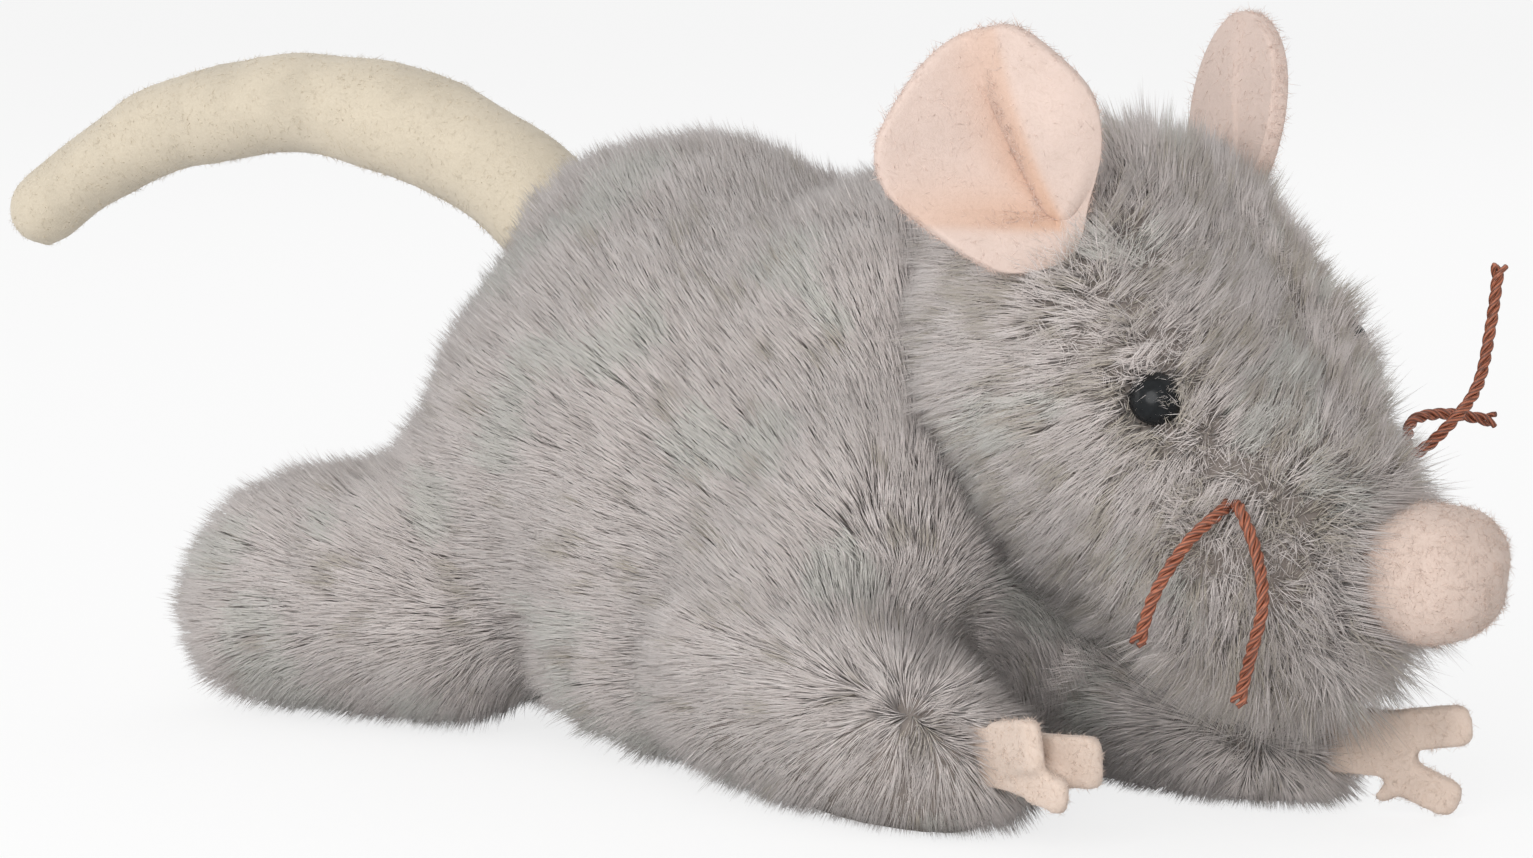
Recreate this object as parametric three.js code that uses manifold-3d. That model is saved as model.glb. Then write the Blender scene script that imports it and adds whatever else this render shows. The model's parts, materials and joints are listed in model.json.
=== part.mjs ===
// A plush catnip mouse lying on its belly. Millimetres, +X to the nose, +Y to the mouse's left, +Z up.
// The origin is on the floor under the widest section of the body, in the patch that it rests on.

import * as THREE from "three";
import { mergeVertices } from "three/addons/utils/BufferGeometryUtils.js";
import Module from "manifold-3d";

const wasm = await Module();
wasm.setup();

const degrees = THREE.MathUtils.degToRad;
const lerp = THREE.MathUtils.lerp;
const RIGHT = -1;
const LEFT = 1;
const UP = new THREE.Vector3(0, 0, 1);

// Cloth and fits
const GAP = 0.3; // left between pieces that touch
const PLUSH = 2.4; // plush cloth with the foot of its pile
const FELT = 1.6; // felt of the ears, hands, nose and tail
const FLAT = 0.5; // depth of pile pressed flat on the floor

// Body: an egg on its side, measured from its widest section
const BODY_REAR = 34.5;
const BODY_FRONT = 31;
const BODY_HALF_WIDTH = 24.5;
const BODY_HALF_HEIGHT = 27;
const BODY_FULLNESS = 2.2;
const RUMP_FULLNESS = 1.85;
const RUMP_DROP = 6.5; // of the rump's tip below the middle of the body
const BELLY_FULLNESS = 2.7; // above 2, the belly is squarer than an ellipse

// Neck: the ball of the shoulders that the head is sewn to and rocks on
const NECK_AHEAD = 23;
const NECK_RISE = 7.5;
const NECK_RADIUS = 20;

// Head: an egg whose muzzle hangs below its crown, measured from its widest section
const HEAD_AHEAD = 26;
const HEAD_RISE = 3.5;
const HEAD_REAR = 24;
const HEAD_FRONT = 26.5;
const HEAD_HALF_WIDTH = 20;
const HEAD_HALF_HEIGHT = 21;
const HEAD_FULLNESS = 2.1;
const MUZZLE_FULLNESS = 1.65;
const MUZZLE_DROP = 14.5; // of the muzzle's end below the middle of the head
const MUZZLE_BEND = 0.82; // below 1, the muzzle drops soonest near the crown
const CROWN_RISE = 4; // of the back of the head above its middle
const CROWN_FULLNESS = 1.9; // below 2, the crown is narrower than an ellipse
const JAW_FULLNESS = 2.1;
const HEAD_TILT = degrees(3.5); // the face is sewn on a little askew, its left side higher

// Nose: a felt ball sunk into the end of the muzzle
const NOSE_RADIUS = 6.3;
const NOSE_SINK = 4;

// Eyes: studs with a stem and a lock washer, placed on the head's surface
const EYE_AHEAD = 11;
const EYE_ANGLE = degrees(28.5); // above the level of the head's middle
const EYE_RADIUS = 2.5;
const EYE_HEIGHT = 2;
const EYE_STEM_RADIUS = 0.9;
const WASHER_RADIUS = 4;
const WASHER_THICKNESS = 0.9;
const EYE_STEM_END = 0.8; // stem showing behind its washer

// Ears: felt petals, cupped towards their face and pinched at the root
const EAR_AHEAD = 1.2;
const EAR_ANGLE = degrees(48); // above the level of the head's middle
const EAR_HEIGHT = 19.5;
const EAR_HALF_WIDTH = 10.5;
const EAR_ROOT_HALF_WIDTH = 5;
const EAR_WIDEST = 0.55; // how far up it is widest, as a share of its height
const EAR_CUP = 3.2; // of its edges towards its face, at the root
const EAR_TIP_CUP = 1.3;
const EAR_TURN = degrees(56); // from facing forward towards facing sideways
const EAR_LEAN = degrees(34); // backwards from upright
const EAR_SPLAY = degrees(33); // outwards from upright
const EAR_CLEARANCE = 0.6; // to the head, so that the ear can fold

// Whiskers: two cords through one channel in the muzzle, each with a free end on either side
const WHISKER_AHEAD = 17.5;
const WHISKER_ANGLE = degrees(18); // above the level of the head's middle
const WHISKER_DIAMETER = 1.1;
const WHISKER_STUB = 0.8; // length that a cord stands straight out of its hole
const WHISKER_LEAD = 1.6; // length inside its hole in which it straightens
// The free ends, as steps from the hole that they hang from
const FRONT_WHISKER_RIGHT = [
  [1.3, -2.5, -16],
  [2.8, -2.8, -11.3],
  [3.6, -2.5, -7.3],
  [2.2, -1.5, -3.4],
];
const FRONT_WHISKER_LEFT = [
  [2.1, 3.2, 2.7],
  [2.7, 6.2, 5.5],
  [2.4, 8.7, 10.4],
  [2.2, 10.2, 15.7],
];
const REAR_WHISKER_RIGHT = [
  [-4.3, -7, -11.2],
  [-3, -6.4, -6.8],
  [-1.1, -4.5, -2.6],
];
const REAR_WHISKER_LEFT = [
  [-1.1, 4.2, 2.3],
  [0, 7.2, 2.7],
  [3.1, 10.7, 2],
];

// Tail: a felt tube that rises from the rump and droops to its tip
const TAIL_BACK = 20;
const TAIL_LENGTH = 81;
const TAIL_ROOT_RADIUS = 6;
const TAIL_TIP_RADIUS = 3.6;
const TAIL_TAPER = 1.4; // above 1, the tail thins most near its tip
const TAIL_RISE = degrees(39);
const TAIL_FALL = degrees(-38);
const TAIL_CURL = 0.8; // below 1, the tail bends most near its root
const TAIL_MOUTH_RADIUS = 2.4; // of the opening that it is stuffed by
const TAIL_DROP = degrees(12); // room left under it to hang lower

// Forelegs: lobes that taper from the shoulder to the paw
const FORELEG_LENGTH = 41;
const FORELEG_SHOULDER_HALF_WIDTH = 11.5;
const FORELEG_SHOULDER_HALF_HEIGHT = 12.6;
const FORELEG_PAW_HALF_WIDTH = 8.5;
const FORELEG_PAW_HALF_HEIGHT = 5.5;
const FORELEG_SLOPE = degrees(13);
const FORELEG_SINK = 4; // of the shoulder's end below the body's surface
const RIGHT_FORELEG_AHEAD = 9;
const RIGHT_FORELEG_TURN = degrees(4); // outwards
const LEFT_FORELEG_AHEAD = 26;
const LEFT_FORELEG_TURN = degrees(-8);

// Hind legs: lobes stretched out backwards
const HIND_LEG_LENGTH = 38;
const HIND_LEG_HIP_HALF_WIDTH = 12;
const HIND_LEG_HIP_HALF_HEIGHT = 14;
const HIND_LEG_FOOT_HALF_WIDTH = 10;
const HIND_LEG_FOOT_HALF_HEIGHT = 10;
const HIND_LEG_SLOPE = degrees(4);
const HIND_LEG_BACK = 9;
const HIND_LEG_SINK = 8;
const HIND_LEG_TURN = degrees(10);
const LEG_FULLNESS = 2.6;

// Hands: felt, cut with three fingers and held upright in a slit in the paw
const HAND_TAB = 2.5; // held inside the paw
const HAND_SWING = degrees(20); // room left for it on either side
const PALM_LENGTH = 6.5;
const PALM_HEIGHT = 5.6;
const FINGER_WIDTH = 4;
// Each hand's middle above the floor, its turn outwards from the leg, and its fingers
const RIGHT_HAND = {
  rise: 7.5,
  turn: degrees(0),
  fingers: [
    { turn: degrees(11), length: 5 },
    { turn: degrees(-2), length: 9 },
    { turn: degrees(-15), length: 7 },
  ],
};
const LEFT_HAND = {
  rise: 6.3,
  turn: degrees(22),
  fingers: [
    { turn: degrees(9), length: 7 },
    { turn: degrees(-15), length: 6 },
    { turn: degrees(-36), length: 1 },
  ],
};

// Catnip sachet in the belly
const POUCH_HALF_LENGTH = 13;
const POUCH_HALF_WIDTH = 9;
const POUCH_HALF_HEIGHT = 6;
const POUCH_RISE = 16; // of its middle above the floor
const POUCH_CLOTH = 0.8;
const POUCH_MOUTH_LENGTH = 9; // of the slit that the leaf goes in by
const POUCH_MOUTH_WIDTH = 4;

// Fineness of the rounded forms
const BODY_SIDES = 22;
const BODY_RINGS = 12;
const LEG_SIDES = 14;
const LEG_RINGS = 10;
const TAIL_SIDES = 12;
const TAIL_STEPS = 12;
const CAP_STEPS = 3;
const NECK_SIDES = 24;
const BALL_SIDES = 18;
const POUCH_SIDES = 12;
const TURNED_SIDES = 12;
const DOME_STEPS = 4;
const CORD_SIDES = 8;
const CORD_STEP = 2.5; // length of a step along a cord, in diameters
const FINGERTIP_SIDES = 5;
const EAR_COLUMNS = 10;
const EAR_ROWS = 7;
const FLOOR_SPAN = 400;

function material(colour, roughness) {
  return new THREE.MeshStandardMaterial({ color: colour, roughness, metalness: 0 });
}

// Solids and meshes

function solid(geometry) {
  const plain = new THREE.BufferGeometry();
  plain.setAttribute("position", geometry.getAttribute("position"));
  plain.setIndex(geometry.getIndex());
  const merged = mergeVertices(plain, 1e-4);
  const corners = merged.getIndex().array;
  const triangles = [];
  for (let i = 0; i < corners.length; i += 3) {
    const [a, b, c] = corners.slice(i, i + 3);
    if (a !== b && b !== c && c !== a) triangles.push(a, b, c);
  }
  return new wasm.Manifold(
    new wasm.Mesh({
      numProp: 3,
      vertProperties: merged.getAttribute("position").array,
      triVerts: new Uint32Array(triangles),
    }),
  );
}

// A group that turns about its own origin, carried by another group.
function addBody(carrier, pivot) {
  const group = new THREE.Group();
  carrier.add(group);
  group.position.copy(carrier.worldToLocal(pivot.clone()));
  group.updateMatrixWorld();
  return group;
}

// A named mesh of a solid that was made in the toy's frame.
function addPiece(group, name, shape, finish) {
  const made = shape.getMesh();
  const geometry = new THREE.BufferGeometry();
  geometry.setAttribute("position", new THREE.BufferAttribute(made.vertProperties, 3));
  geometry.setIndex(new THREE.BufferAttribute(made.triVerts, 1));
  geometry.applyMatrix4(group.matrixWorld.clone().invert());
  geometry.computeVertexNormals();
  const mesh = new THREE.Mesh(geometry, finish);
  mesh.name = name;
  group.add(mesh);
}

// A skin of rings, each a list of points round the form; the first and last shrink to a point.
function loft(rings) {
  const sides = rings[0].length;
  const positions = rings.flat().flatMap((point) => point.toArray());
  const index = [];
  for (let i = 0; i + 1 < rings.length; i++) {
    for (let j = 0; j < sides; j++) {
      const here = i * sides + j;
      const beside = i * sides + ((j + 1) % sides);
      index.push(here, beside, here + sides);
      index.push(here + sides, beside, beside + sides);
    }
  }
  const geometry = new THREE.BufferGeometry();
  geometry.setAttribute("position", new THREE.Float32BufferAttribute(positions, 3));
  geometry.setIndex(index);
  return geometry;
}

function ring(centre, side, up, halfWidth, halfHeight, sides) {
  return Array.from({ length: sides }, (_, j) => {
    const angle = (2 * Math.PI * j) / sides;
    return centre
      .clone()
      .addScaledVector(side, halfWidth * Math.cos(angle))
      .addScaledVector(up, halfHeight * Math.sin(angle));
  });
}

// How far a stuffed form has swollen at t, from -1 at one end to 1 at the other.
function swelling(t, fullness) {
  return Math.pow(Math.max(0, 1 - Math.pow(Math.abs(t), fullness)), 1 / fullness);
}

function ball(centre, radius, sides = BALL_SIDES) {
  const geometry = new THREE.SphereGeometry(radius, sides, sides / 2);
  return solid(geometry.translate(centre.x, centre.y, centre.z));
}

// A round bar from one point to another.
function bar(from, to, radius) {
  const along = to.clone().sub(from);
  const geometry = new THREE.CylinderGeometry(radius, radius, along.length(), TURNED_SIDES);
  geometry.applyQuaternion(
    new THREE.Quaternion().setFromUnitVectors(new THREE.Vector3(0, 1, 0), along.clone().normalize()),
  );
  const middle = from.clone().lerp(to, 0.5);
  return solid(geometry.translate(middle.x, middle.y, middle.z));
}

// A turned piece whose profile stands on a point of a surface, along its normal.
function turned(profile, foot, normal) {
  const geometry = new THREE.LatheGeometry(
    profile.map(([radius, height]) => new THREE.Vector2(radius, height)),
    TURNED_SIDES,
  );
  geometry.applyQuaternion(
    new THREE.Quaternion().setFromUnitVectors(new THREE.Vector3(0, 1, 0), normal),
  );
  return solid(geometry.translate(foot.x, foot.y, foot.z));
}

const floor = solid(
  new THREE.BoxGeometry(FLOOR_SPAN, FLOOR_SPAN, FLOOR_SPAN).translate(0, 0, -FLOOR_SPAN / 2),
);

// Eggs: the body and the head

const body = {
  middle: new THREE.Vector3(0, 0, BODY_HALF_HEIGHT - FLAT),
  rear: BODY_REAR,
  front: BODY_FRONT,
  halfWidth: BODY_HALF_WIDTH,
  halfHeight: BODY_HALF_HEIGHT,
  frontFullness: BODY_FULLNESS,
  rearFullness: RUMP_FULLNESS,
  overFullness: 2,
  underFullness: BELLY_FULLNESS,
  rise: (x) => (x < 0 ? -RUMP_DROP * (x / BODY_REAR) ** 2 : 0),
};

const neck = body.middle.clone().add(new THREE.Vector3(NECK_AHEAD, 0, NECK_RISE));

const head = {
  middle: neck.clone().add(new THREE.Vector3(HEAD_AHEAD, 0, HEAD_RISE)),
  rear: HEAD_REAR,
  front: HEAD_FRONT,
  halfWidth: HEAD_HALF_WIDTH,
  halfHeight: HEAD_HALF_HEIGHT,
  frontFullness: MUZZLE_FULLNESS,
  rearFullness: HEAD_FULLNESS,
  overFullness: CROWN_FULLNESS,
  underFullness: JAW_FULLNESS,
  rise(x) {
    if (x < 0) return (CROWN_RISE * -x) / HEAD_REAR;
    const share = Math.pow(Math.min(1, x / HEAD_FRONT), MUZZLE_BEND);
    return (-MUZZLE_DROP * (1 - Math.cos(Math.PI * share))) / 2;
  },
};

// The point of an egg at x from its middle, at an angle from its left side up, grown by some millimetres.
function eggPoint(egg, x, angle, grow = 0) {
  const reach = (x < 0 ? egg.rear : egg.front) + grow;
  const share = swelling(x / reach, x < 0 ? egg.rearFullness : egg.frontFullness);
  const power = 2 / (Math.sin(angle) < 0 ? egg.underFullness : egg.overFullness);
  const across = Math.sign(Math.cos(angle)) * Math.pow(Math.abs(Math.cos(angle)), power);
  const upward = Math.sign(Math.sin(angle)) * Math.pow(Math.abs(Math.sin(angle)), power);
  return new THREE.Vector3(
    egg.middle.x + x,
    egg.middle.y + (egg.halfWidth + grow) * share * across,
    egg.middle.z + egg.rise(x) + (egg.halfHeight + grow) * share * upward,
  );
}

function eggNormal(egg, x, angle) {
  const step = 0.01;
  const along = eggPoint(egg, x + step, angle).sub(eggPoint(egg, x - step, angle));
  const around = eggPoint(egg, x, angle + step).sub(eggPoint(egg, x, angle - step));
  return around.cross(along).normalize();
}

function eggSolid(egg, grow = 0) {
  const rings = [];
  for (let i = 0; i <= BODY_RINGS; i++) {
    const t = -Math.cos((Math.PI * i) / BODY_RINGS);
    const x = t * ((t < 0 ? egg.rear : egg.front) + grow);
    rings.push(
      Array.from({ length: BODY_SIDES }, (_, j) =>
        eggPoint(egg, x, (2 * Math.PI * j) / BODY_SIDES, grow),
      ),
    );
  }
  return solid(loft(rings));
}

function bodySolid(grow = 0) {
  return eggSolid(body, grow).add(ball(neck, NECK_RADIUS + grow, NECK_SIDES));
}

// Legs: tapering lobes let down until they press on the floor

function legAxes(leg) {
  const axis = leg.tip.clone().sub(leg.root).normalize();
  const side = UP.clone().cross(axis).normalize();
  return { axis, side, up: axis.clone().cross(side) };
}

function legRings(leg, grow) {
  const { axis, side, up } = legAxes(leg);
  const length = leg.tip.distanceTo(leg.root);
  return Array.from({ length: LEG_RINGS + 1 }, (_, i) => {
    const t = -Math.cos((Math.PI * i) / LEG_RINGS);
    const share = (t + 1) / 2;
    const full = swelling(t, LEG_FULLNESS);
    const centre = leg.root.clone().addScaledVector(axis, share * (length + 2 * grow) - grow);
    const halfWidth = lerp(leg.rootHalfWidth, leg.tipHalfWidth, share) + grow;
    const halfHeight = lerp(leg.rootHalfHeight, leg.tipHalfHeight, share) + grow;
    return ring(centre, side, up, halfWidth * full, halfHeight * full, LEG_SIDES);
  });
}

function settled(leg) {
  const lowest = Math.min(...legRings(leg, 0).flat().map((point) => point.z));
  leg.root.z -= lowest + FLAT;
  leg.tip.z -= lowest + FLAT;
  return leg;
}

function legFrom(side, ahead, sink, heading, slope, length, sizes) {
  const seam = eggPoint(body, ahead, 0);
  const root = new THREE.Vector3(seam.x, side * (seam.y - sink), seam.z);
  const tip = new THREE.Vector3(
    root.x + length * Math.cos(slope) * Math.cos(heading),
    root.y + side * length * Math.cos(slope) * Math.sin(heading),
    root.z - length * Math.sin(slope),
  );
  return settled({ side, root, tip, seamY: side * seam.y, ...sizes });
}

function foreleg(side, ahead, turn) {
  return legFrom(side, ahead, FORELEG_SINK, turn, FORELEG_SLOPE, FORELEG_LENGTH, {
    rootHalfWidth: FORELEG_SHOULDER_HALF_WIDTH,
    rootHalfHeight: FORELEG_SHOULDER_HALF_HEIGHT,
    tipHalfWidth: FORELEG_PAW_HALF_WIDTH,
    tipHalfHeight: FORELEG_PAW_HALF_HEIGHT,
  });
}

function hindLeg(side) {
  const heading = Math.PI - HIND_LEG_TURN;
  return legFrom(side, -HIND_LEG_BACK, HIND_LEG_SINK, heading, HIND_LEG_SLOPE, HIND_LEG_LENGTH, {
    rootHalfWidth: HIND_LEG_HIP_HALF_WIDTH,
    rootHalfHeight: HIND_LEG_HIP_HALF_HEIGHT,
    tipHalfWidth: HIND_LEG_FOOT_HALF_WIDTH,
    tipHalfHeight: HIND_LEG_FOOT_HALF_HEIGHT,
  });
}

// Hands

// A strip of felt from the palm, turned in the hand's plane, with a rounded end.
function finger(hand, length, turn) {
  const radius = FINGER_WIDTH / 2;
  const knuckle = PALM_LENGTH - radius;
  const outline = new THREE.Shape().moveTo(knuckle, -radius).lineTo(length - radius, -radius);
  outline.absarc(length - radius, 0, radius, -Math.PI / 2, Math.PI / 2).lineTo(knuckle, radius);
  const strip = new THREE.ExtrudeGeometry(outline, {
    depth: FELT,
    bevelEnabled: false,
    curveSegments: FINGERTIP_SIDES,
  });
  strip.translate(0, 0, -FELT / 2).rotateX(Math.PI / 2).rotateY(-turn);
  return solid(strip.applyMatrix4(hand));
}

// A block of the hand's palm, or of the slit that holds it.
function palm(hand, from, height, thickness) {
  const block = new THREE.BoxGeometry(PALM_LENGTH - from, thickness, height);
  return solid(block.translate((PALM_LENGTH + from) / 2, 0, 0).applyMatrix4(hand));
}

// The frame of a hand: its root inside the paw, forward, and up.
function handFrame(leg, { rise, turn }) {
  const { axis } = legAxes(leg);
  const ahead = new THREE.Vector3(axis.x, axis.y, 0).normalize();
  const forward = ahead.clone().applyAxisAngle(UP, leg.side * turn);
  const root = leg.tip.clone().addScaledVector(ahead, -HAND_TAB).setZ(rise);
  return new THREE.Matrix4().makeBasis(forward, UP.clone().cross(forward), UP).setPosition(root);
}

function handSolid(hand, fingers) {
  return fingers.reduce(
    (shape, { turn, length }) => shape.add(finger(hand, PALM_LENGTH + length, turn)),
    palm(hand, 0, PALM_HEIGHT, FELT),
  );
}

// The slit in the paw, wide enough for the hand to swing.
function handSlit(hand, clearance) {
  const room = HAND_TAB * Math.sin(HAND_SWING) + clearance;
  return palm(hand, -clearance, PALM_HEIGHT + 2 * clearance, FELT + 2 * room);
}

// Tail

// The line of the tail from its root, hanging lower by an angle.
function tailPath(root, drop = 0) {
  const points = [root.clone()];
  const step = TAIL_LENGTH / TAIL_STEPS;
  for (let i = 0; i < TAIL_STEPS; i++) {
    const share = Math.pow((i + 0.5) / TAIL_STEPS, TAIL_CURL);
    const slope = lerp(TAIL_RISE, TAIL_FALL, share) - drop;
    const ahead = new THREE.Vector3(-Math.cos(slope), 0, Math.sin(slope));
    points.push(points[i].clone().addScaledVector(ahead, step));
  }
  return new THREE.CatmullRomCurve3(points);
}

function tailSolid(path, grow) {
  const across = new THREE.Vector3(0, -1, 0);
  const rootRadius = TAIL_ROOT_RADIUS + grow;
  const tipRadius = TAIL_TIP_RADIUS + grow;
  const rings = [];
  const addRing = (share, slide, radius) => {
    const axis = path.getTangentAt(share);
    const centre = path.getPointAt(share).addScaledVector(axis, slide);
    rings.push(ring(centre, across, axis.clone().cross(across), radius, radius, TAIL_SIDES));
  };
  for (let i = 0; i < CAP_STEPS; i++) {
    const angle = (Math.PI * i) / (2 * CAP_STEPS);
    addRing(0, -rootRadius * Math.cos(angle), rootRadius * Math.sin(angle));
  }
  const tubeEnd = 1 - TAIL_TIP_RADIUS / TAIL_LENGTH;
  for (let i = 0; i <= TAIL_STEPS; i++) {
    const share = i / TAIL_STEPS;
    addRing(tubeEnd * share, 0, lerp(rootRadius, tipRadius, Math.pow(share, TAIL_TAPER)));
  }
  for (let i = 1; i <= CAP_STEPS; i++) {
    const angle = (Math.PI * i) / (2 * CAP_STEPS);
    addRing(tubeEnd, tipRadius * Math.sin(angle), tipRadius * Math.cos(angle));
  }
  return solid(loft(rings));
}

// What the body and its filling leave free for the tail's root.
function tailRoom(root, clearance) {
  return ball(root, TAIL_ROOT_RADIUS + clearance).add(tailSolid(tailPath(root, TAIL_DROP), clearance));
}

// Places on the face, on either side at the same height but for the tilt of the face

function faceAngle(side, angle) {
  return (side === LEFT ? angle : Math.PI - angle) + HEAD_TILT;
}

// Ears

function earPetal(side) {
  const root = eggPoint(head, EAR_AHEAD, faceAngle(side, EAR_ANGLE));
  const rise = new THREE.Vector3(-Math.tan(EAR_LEAN), side * Math.tan(EAR_SPLAY), 1).normalize();
  const face = new THREE.Vector3(Math.cos(EAR_TURN), side * Math.sin(EAR_TURN), 0);
  face.addScaledVector(rise, -face.dot(rise)).normalize();
  const across = rise.clone().cross(face);
  return { root, rise, face, across };
}

// The felt's middle surface: u from -1 to 1 across the petal, v from 0 at the root to 1 at the tip.
function earPoint(ear, u, v) {
  const pinch = Math.sqrt(1 - (EAR_ROOT_HALF_WIDTH / EAR_HALF_WIDTH) ** 2);
  const below = v < EAR_WIDEST;
  const t = below ? pinch * (1 - v / EAR_WIDEST) : (v - EAR_WIDEST) / (1 - EAR_WIDEST);
  const halfWidth = EAR_HALF_WIDTH * swelling(t, 2);
  return ear.root
    .clone()
    .addScaledVector(ear.rise, v * EAR_HEIGHT)
    .addScaledVector(ear.across, u * halfWidth)
    .addScaledVector(ear.face, u * u * lerp(EAR_CUP, EAR_TIP_CUP, v));
}

// Each ring runs along the face of the felt and returns along its back.
function earSolid(ear) {
  const rings = [];
  for (let i = 0; i <= EAR_ROWS; i++) {
    const v = Math.sin((Math.PI * i) / (2 * EAR_ROWS));
    const line = Array.from({ length: EAR_COLUMNS + 1 }, (_, j) =>
      earPoint(ear, (2 * j) / EAR_COLUMNS - 1, v),
    );
    const face = line.map((point) => point.clone().addScaledVector(ear.face, FELT / 2));
    const back = line.map((point) => point.clone().addScaledVector(ear.face, -FELT / 2));
    rings.push([...face, ...back.reverse()]);
    if (i === 0) rings.unshift([...line, ...line.toReversed()]);
    if (i === EAR_ROWS) rings.push([...line, ...line.toReversed()]);
  }
  return solid(loft(rings));
}

// Eyes

function eyePlace(side) {
  const angle = faceAngle(side, EYE_ANGLE);
  return { foot: eggPoint(head, EYE_AHEAD, angle), normal: eggNormal(head, EYE_AHEAD, angle) };
}

// Depths of the washer's face and back below the head's surface; the washer is flat and the head is
// round, so its rim keeps the clearance.
const washerFace = PLUSH + 2 * GAP + WASHER_RADIUS ** 2 / (2 * (HEAD_HALF_WIDTH - PLUSH));
const washerBack = washerFace + WASHER_THICKNESS;
const stemDepth = washerBack + EYE_STEM_END;

function eyeSolid({ foot, normal }) {
  const dome = Array.from({ length: DOME_STEPS + 1 }, (_, i) => {
    const angle = (Math.PI * i) / (2 * DOME_STEPS);
    return [EYE_RADIUS * Math.cos(angle), GAP + EYE_HEIGHT * Math.sin(angle)];
  });
  const stem = [
    [0, -stemDepth],
    [EYE_STEM_RADIUS, -stemDepth],
    [EYE_STEM_RADIUS, GAP],
  ];
  return turned([...stem, ...dome], foot, normal);
}

function washerSolid({ foot, normal }) {
  const bore = EYE_STEM_RADIUS + GAP;
  const profile = [
    [bore, -washerBack],
    [WASHER_RADIUS, -washerBack],
    [WASHER_RADIUS, -washerFace],
    [bore, -washerFace],
    [bore, -washerBack],
  ];
  return turned(profile, foot, normal);
}

// A round hole sunk square to the head's surface.
function eyeHole({ foot, normal }, radius, depth) {
  const profile = [
    [0, -depth],
    [radius, -depth],
    [radius, EYE_HEIGHT],
    [0, EYE_HEIGHT],
  ];
  return turned(profile, foot, normal);
}

// Whiskers

const whiskerHole = {
  right: eggPoint(head, WHISKER_AHEAD, faceAngle(RIGHT, WHISKER_ANGLE)),
  left: eggPoint(head, WHISKER_AHEAD, faceAngle(LEFT, WHISKER_ANGLE)),
};

// The channel holds both cords with a gap between and around them, and runs on past the muzzle's
// surface at both ends.
function whiskerChannel() {
  const radius = (2 * WHISKER_DIAMETER + 3 * GAP) / 2;
  const over = whiskerHole.left.clone().sub(whiskerHole.right).setLength(PLUSH);
  return bar(whiskerHole.right.clone().sub(over), whiskerHole.left.clone().add(over), radius);
}

// The two cords lie side by side in the channel, one ahead of the other.
function whiskerSolid(rightEnd, leftEnd, ahead) {
  const shift = new THREE.Vector3(ahead * (WHISKER_DIAMETER + GAP), 0, 0).multiplyScalar(0.5);
  const right = whiskerHole.right.clone().add(shift);
  const left = whiskerHole.left.clone().add(shift);
  const leftwards = left.clone().sub(right).normalize();
  const path = new THREE.CatmullRomCurve3([
    ...rightEnd.map((step) => right.clone().add(new THREE.Vector3(...step))),
    right.clone().addScaledVector(leftwards, -WHISKER_STUB),
    right.clone().addScaledVector(leftwards, WHISKER_LEAD),
    left.clone().addScaledVector(leftwards, -WHISKER_LEAD),
    left.clone().addScaledVector(leftwards, WHISKER_STUB),
    ...leftEnd.map((step) => left.clone().add(new THREE.Vector3(...step))),
  ]);
  const section = new THREE.Shape();
  section.absarc(0, 0, WHISKER_DIAMETER / 2, 0, 2 * Math.PI);
  const steps = Math.round(path.getLength() / (CORD_STEP * WHISKER_DIAMETER));
  const curveSegments = CORD_SIDES / 2;
  return solid(new THREE.ExtrudeGeometry(section, { steps, curveSegments, extrudePath: path }));
}

// Catnip sachet

function pouchSolid(grow) {
  const geometry = new THREE.SphereGeometry(1, POUCH_SIDES, POUCH_SIDES / 2).scale(
    POUCH_HALF_LENGTH + grow,
    POUCH_HALF_WIDTH + grow,
    POUCH_HALF_HEIGHT + grow,
  );
  return solid(geometry.translate(0, 0, POUCH_RISE));
}

// The slit under the sachet, from its middle down to the floor.
function pouchMouth(clearance) {
  const geometry = new THREE.BoxGeometry(
    POUCH_MOUTH_LENGTH + 2 * clearance,
    POUCH_MOUTH_WIDTH + 2 * clearance,
    POUCH_RISE,
  );
  return solid(geometry.translate(0, 0, POUCH_RISE / 2));
}

// Finishes

const plush = material("#a39a95", 0.95);
const pinkFelt = material("#f0d9cc", 0.95);
const creamFelt = material("#ddd2bd", 0.95);
const fibre = material("#f1efe9", 1);
const eyePlastic = material("#1c2024", 0.25);
const washerPlastic = material("#d8d8d4", 0.5);
const twistedCord = material("#a8573c", 0.7);
const muslin = material("#e6dcc6", 0.9);
const driedLeaf = material("#717a48", 1);

// Assembly

const mouse = new THREE.Group();

function addTrunk() {
  const root = eggPoint(body, -TAIL_BACK, Math.PI / 2);
  const skin = bodySolid(0).subtract(bodySolid(-PLUSH)).subtract(floor);
  addPiece(mouse, "body_skin", skin.subtract(tailRoom(root, GAP)), plush);
  const filling = bodySolid(-PLUSH - GAP).subtract(tailRoom(root, 2 * GAP));
  const well = pouchSolid(GAP).add(pouchMouth(GAP));
  addPiece(mouse, "body_filling", filling.subtract(well), fibre);
  const sachet = pouchSolid(0).subtract(pouchSolid(-POUCH_CLOTH)).subtract(pouchMouth(0));
  addPiece(mouse, "catnip_pouch", sachet, muslin);
  addPiece(mouse, "catnip_herb", pouchSolid(-POUCH_CLOTH - GAP), driedLeaf);
}

function addTail() {
  const root = eggPoint(body, -TAIL_BACK, Math.PI / 2);
  const path = tailPath(root);
  const tail = addBody(mouse, root);
  const inward = path.getTangentAt(0).multiplyScalar(-2 * TAIL_ROOT_RADIUS);
  const mouth = bar(root, root.clone().add(inward), TAIL_MOUTH_RADIUS);
  const skin = tailSolid(path, 0).subtract(tailSolid(path, -FELT)).subtract(mouth);
  addPiece(tail, "tail_skin", skin, creamFelt);
  addPiece(tail, "tail_filling", tailSolid(path, -FELT - GAP), fibre);
}

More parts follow.
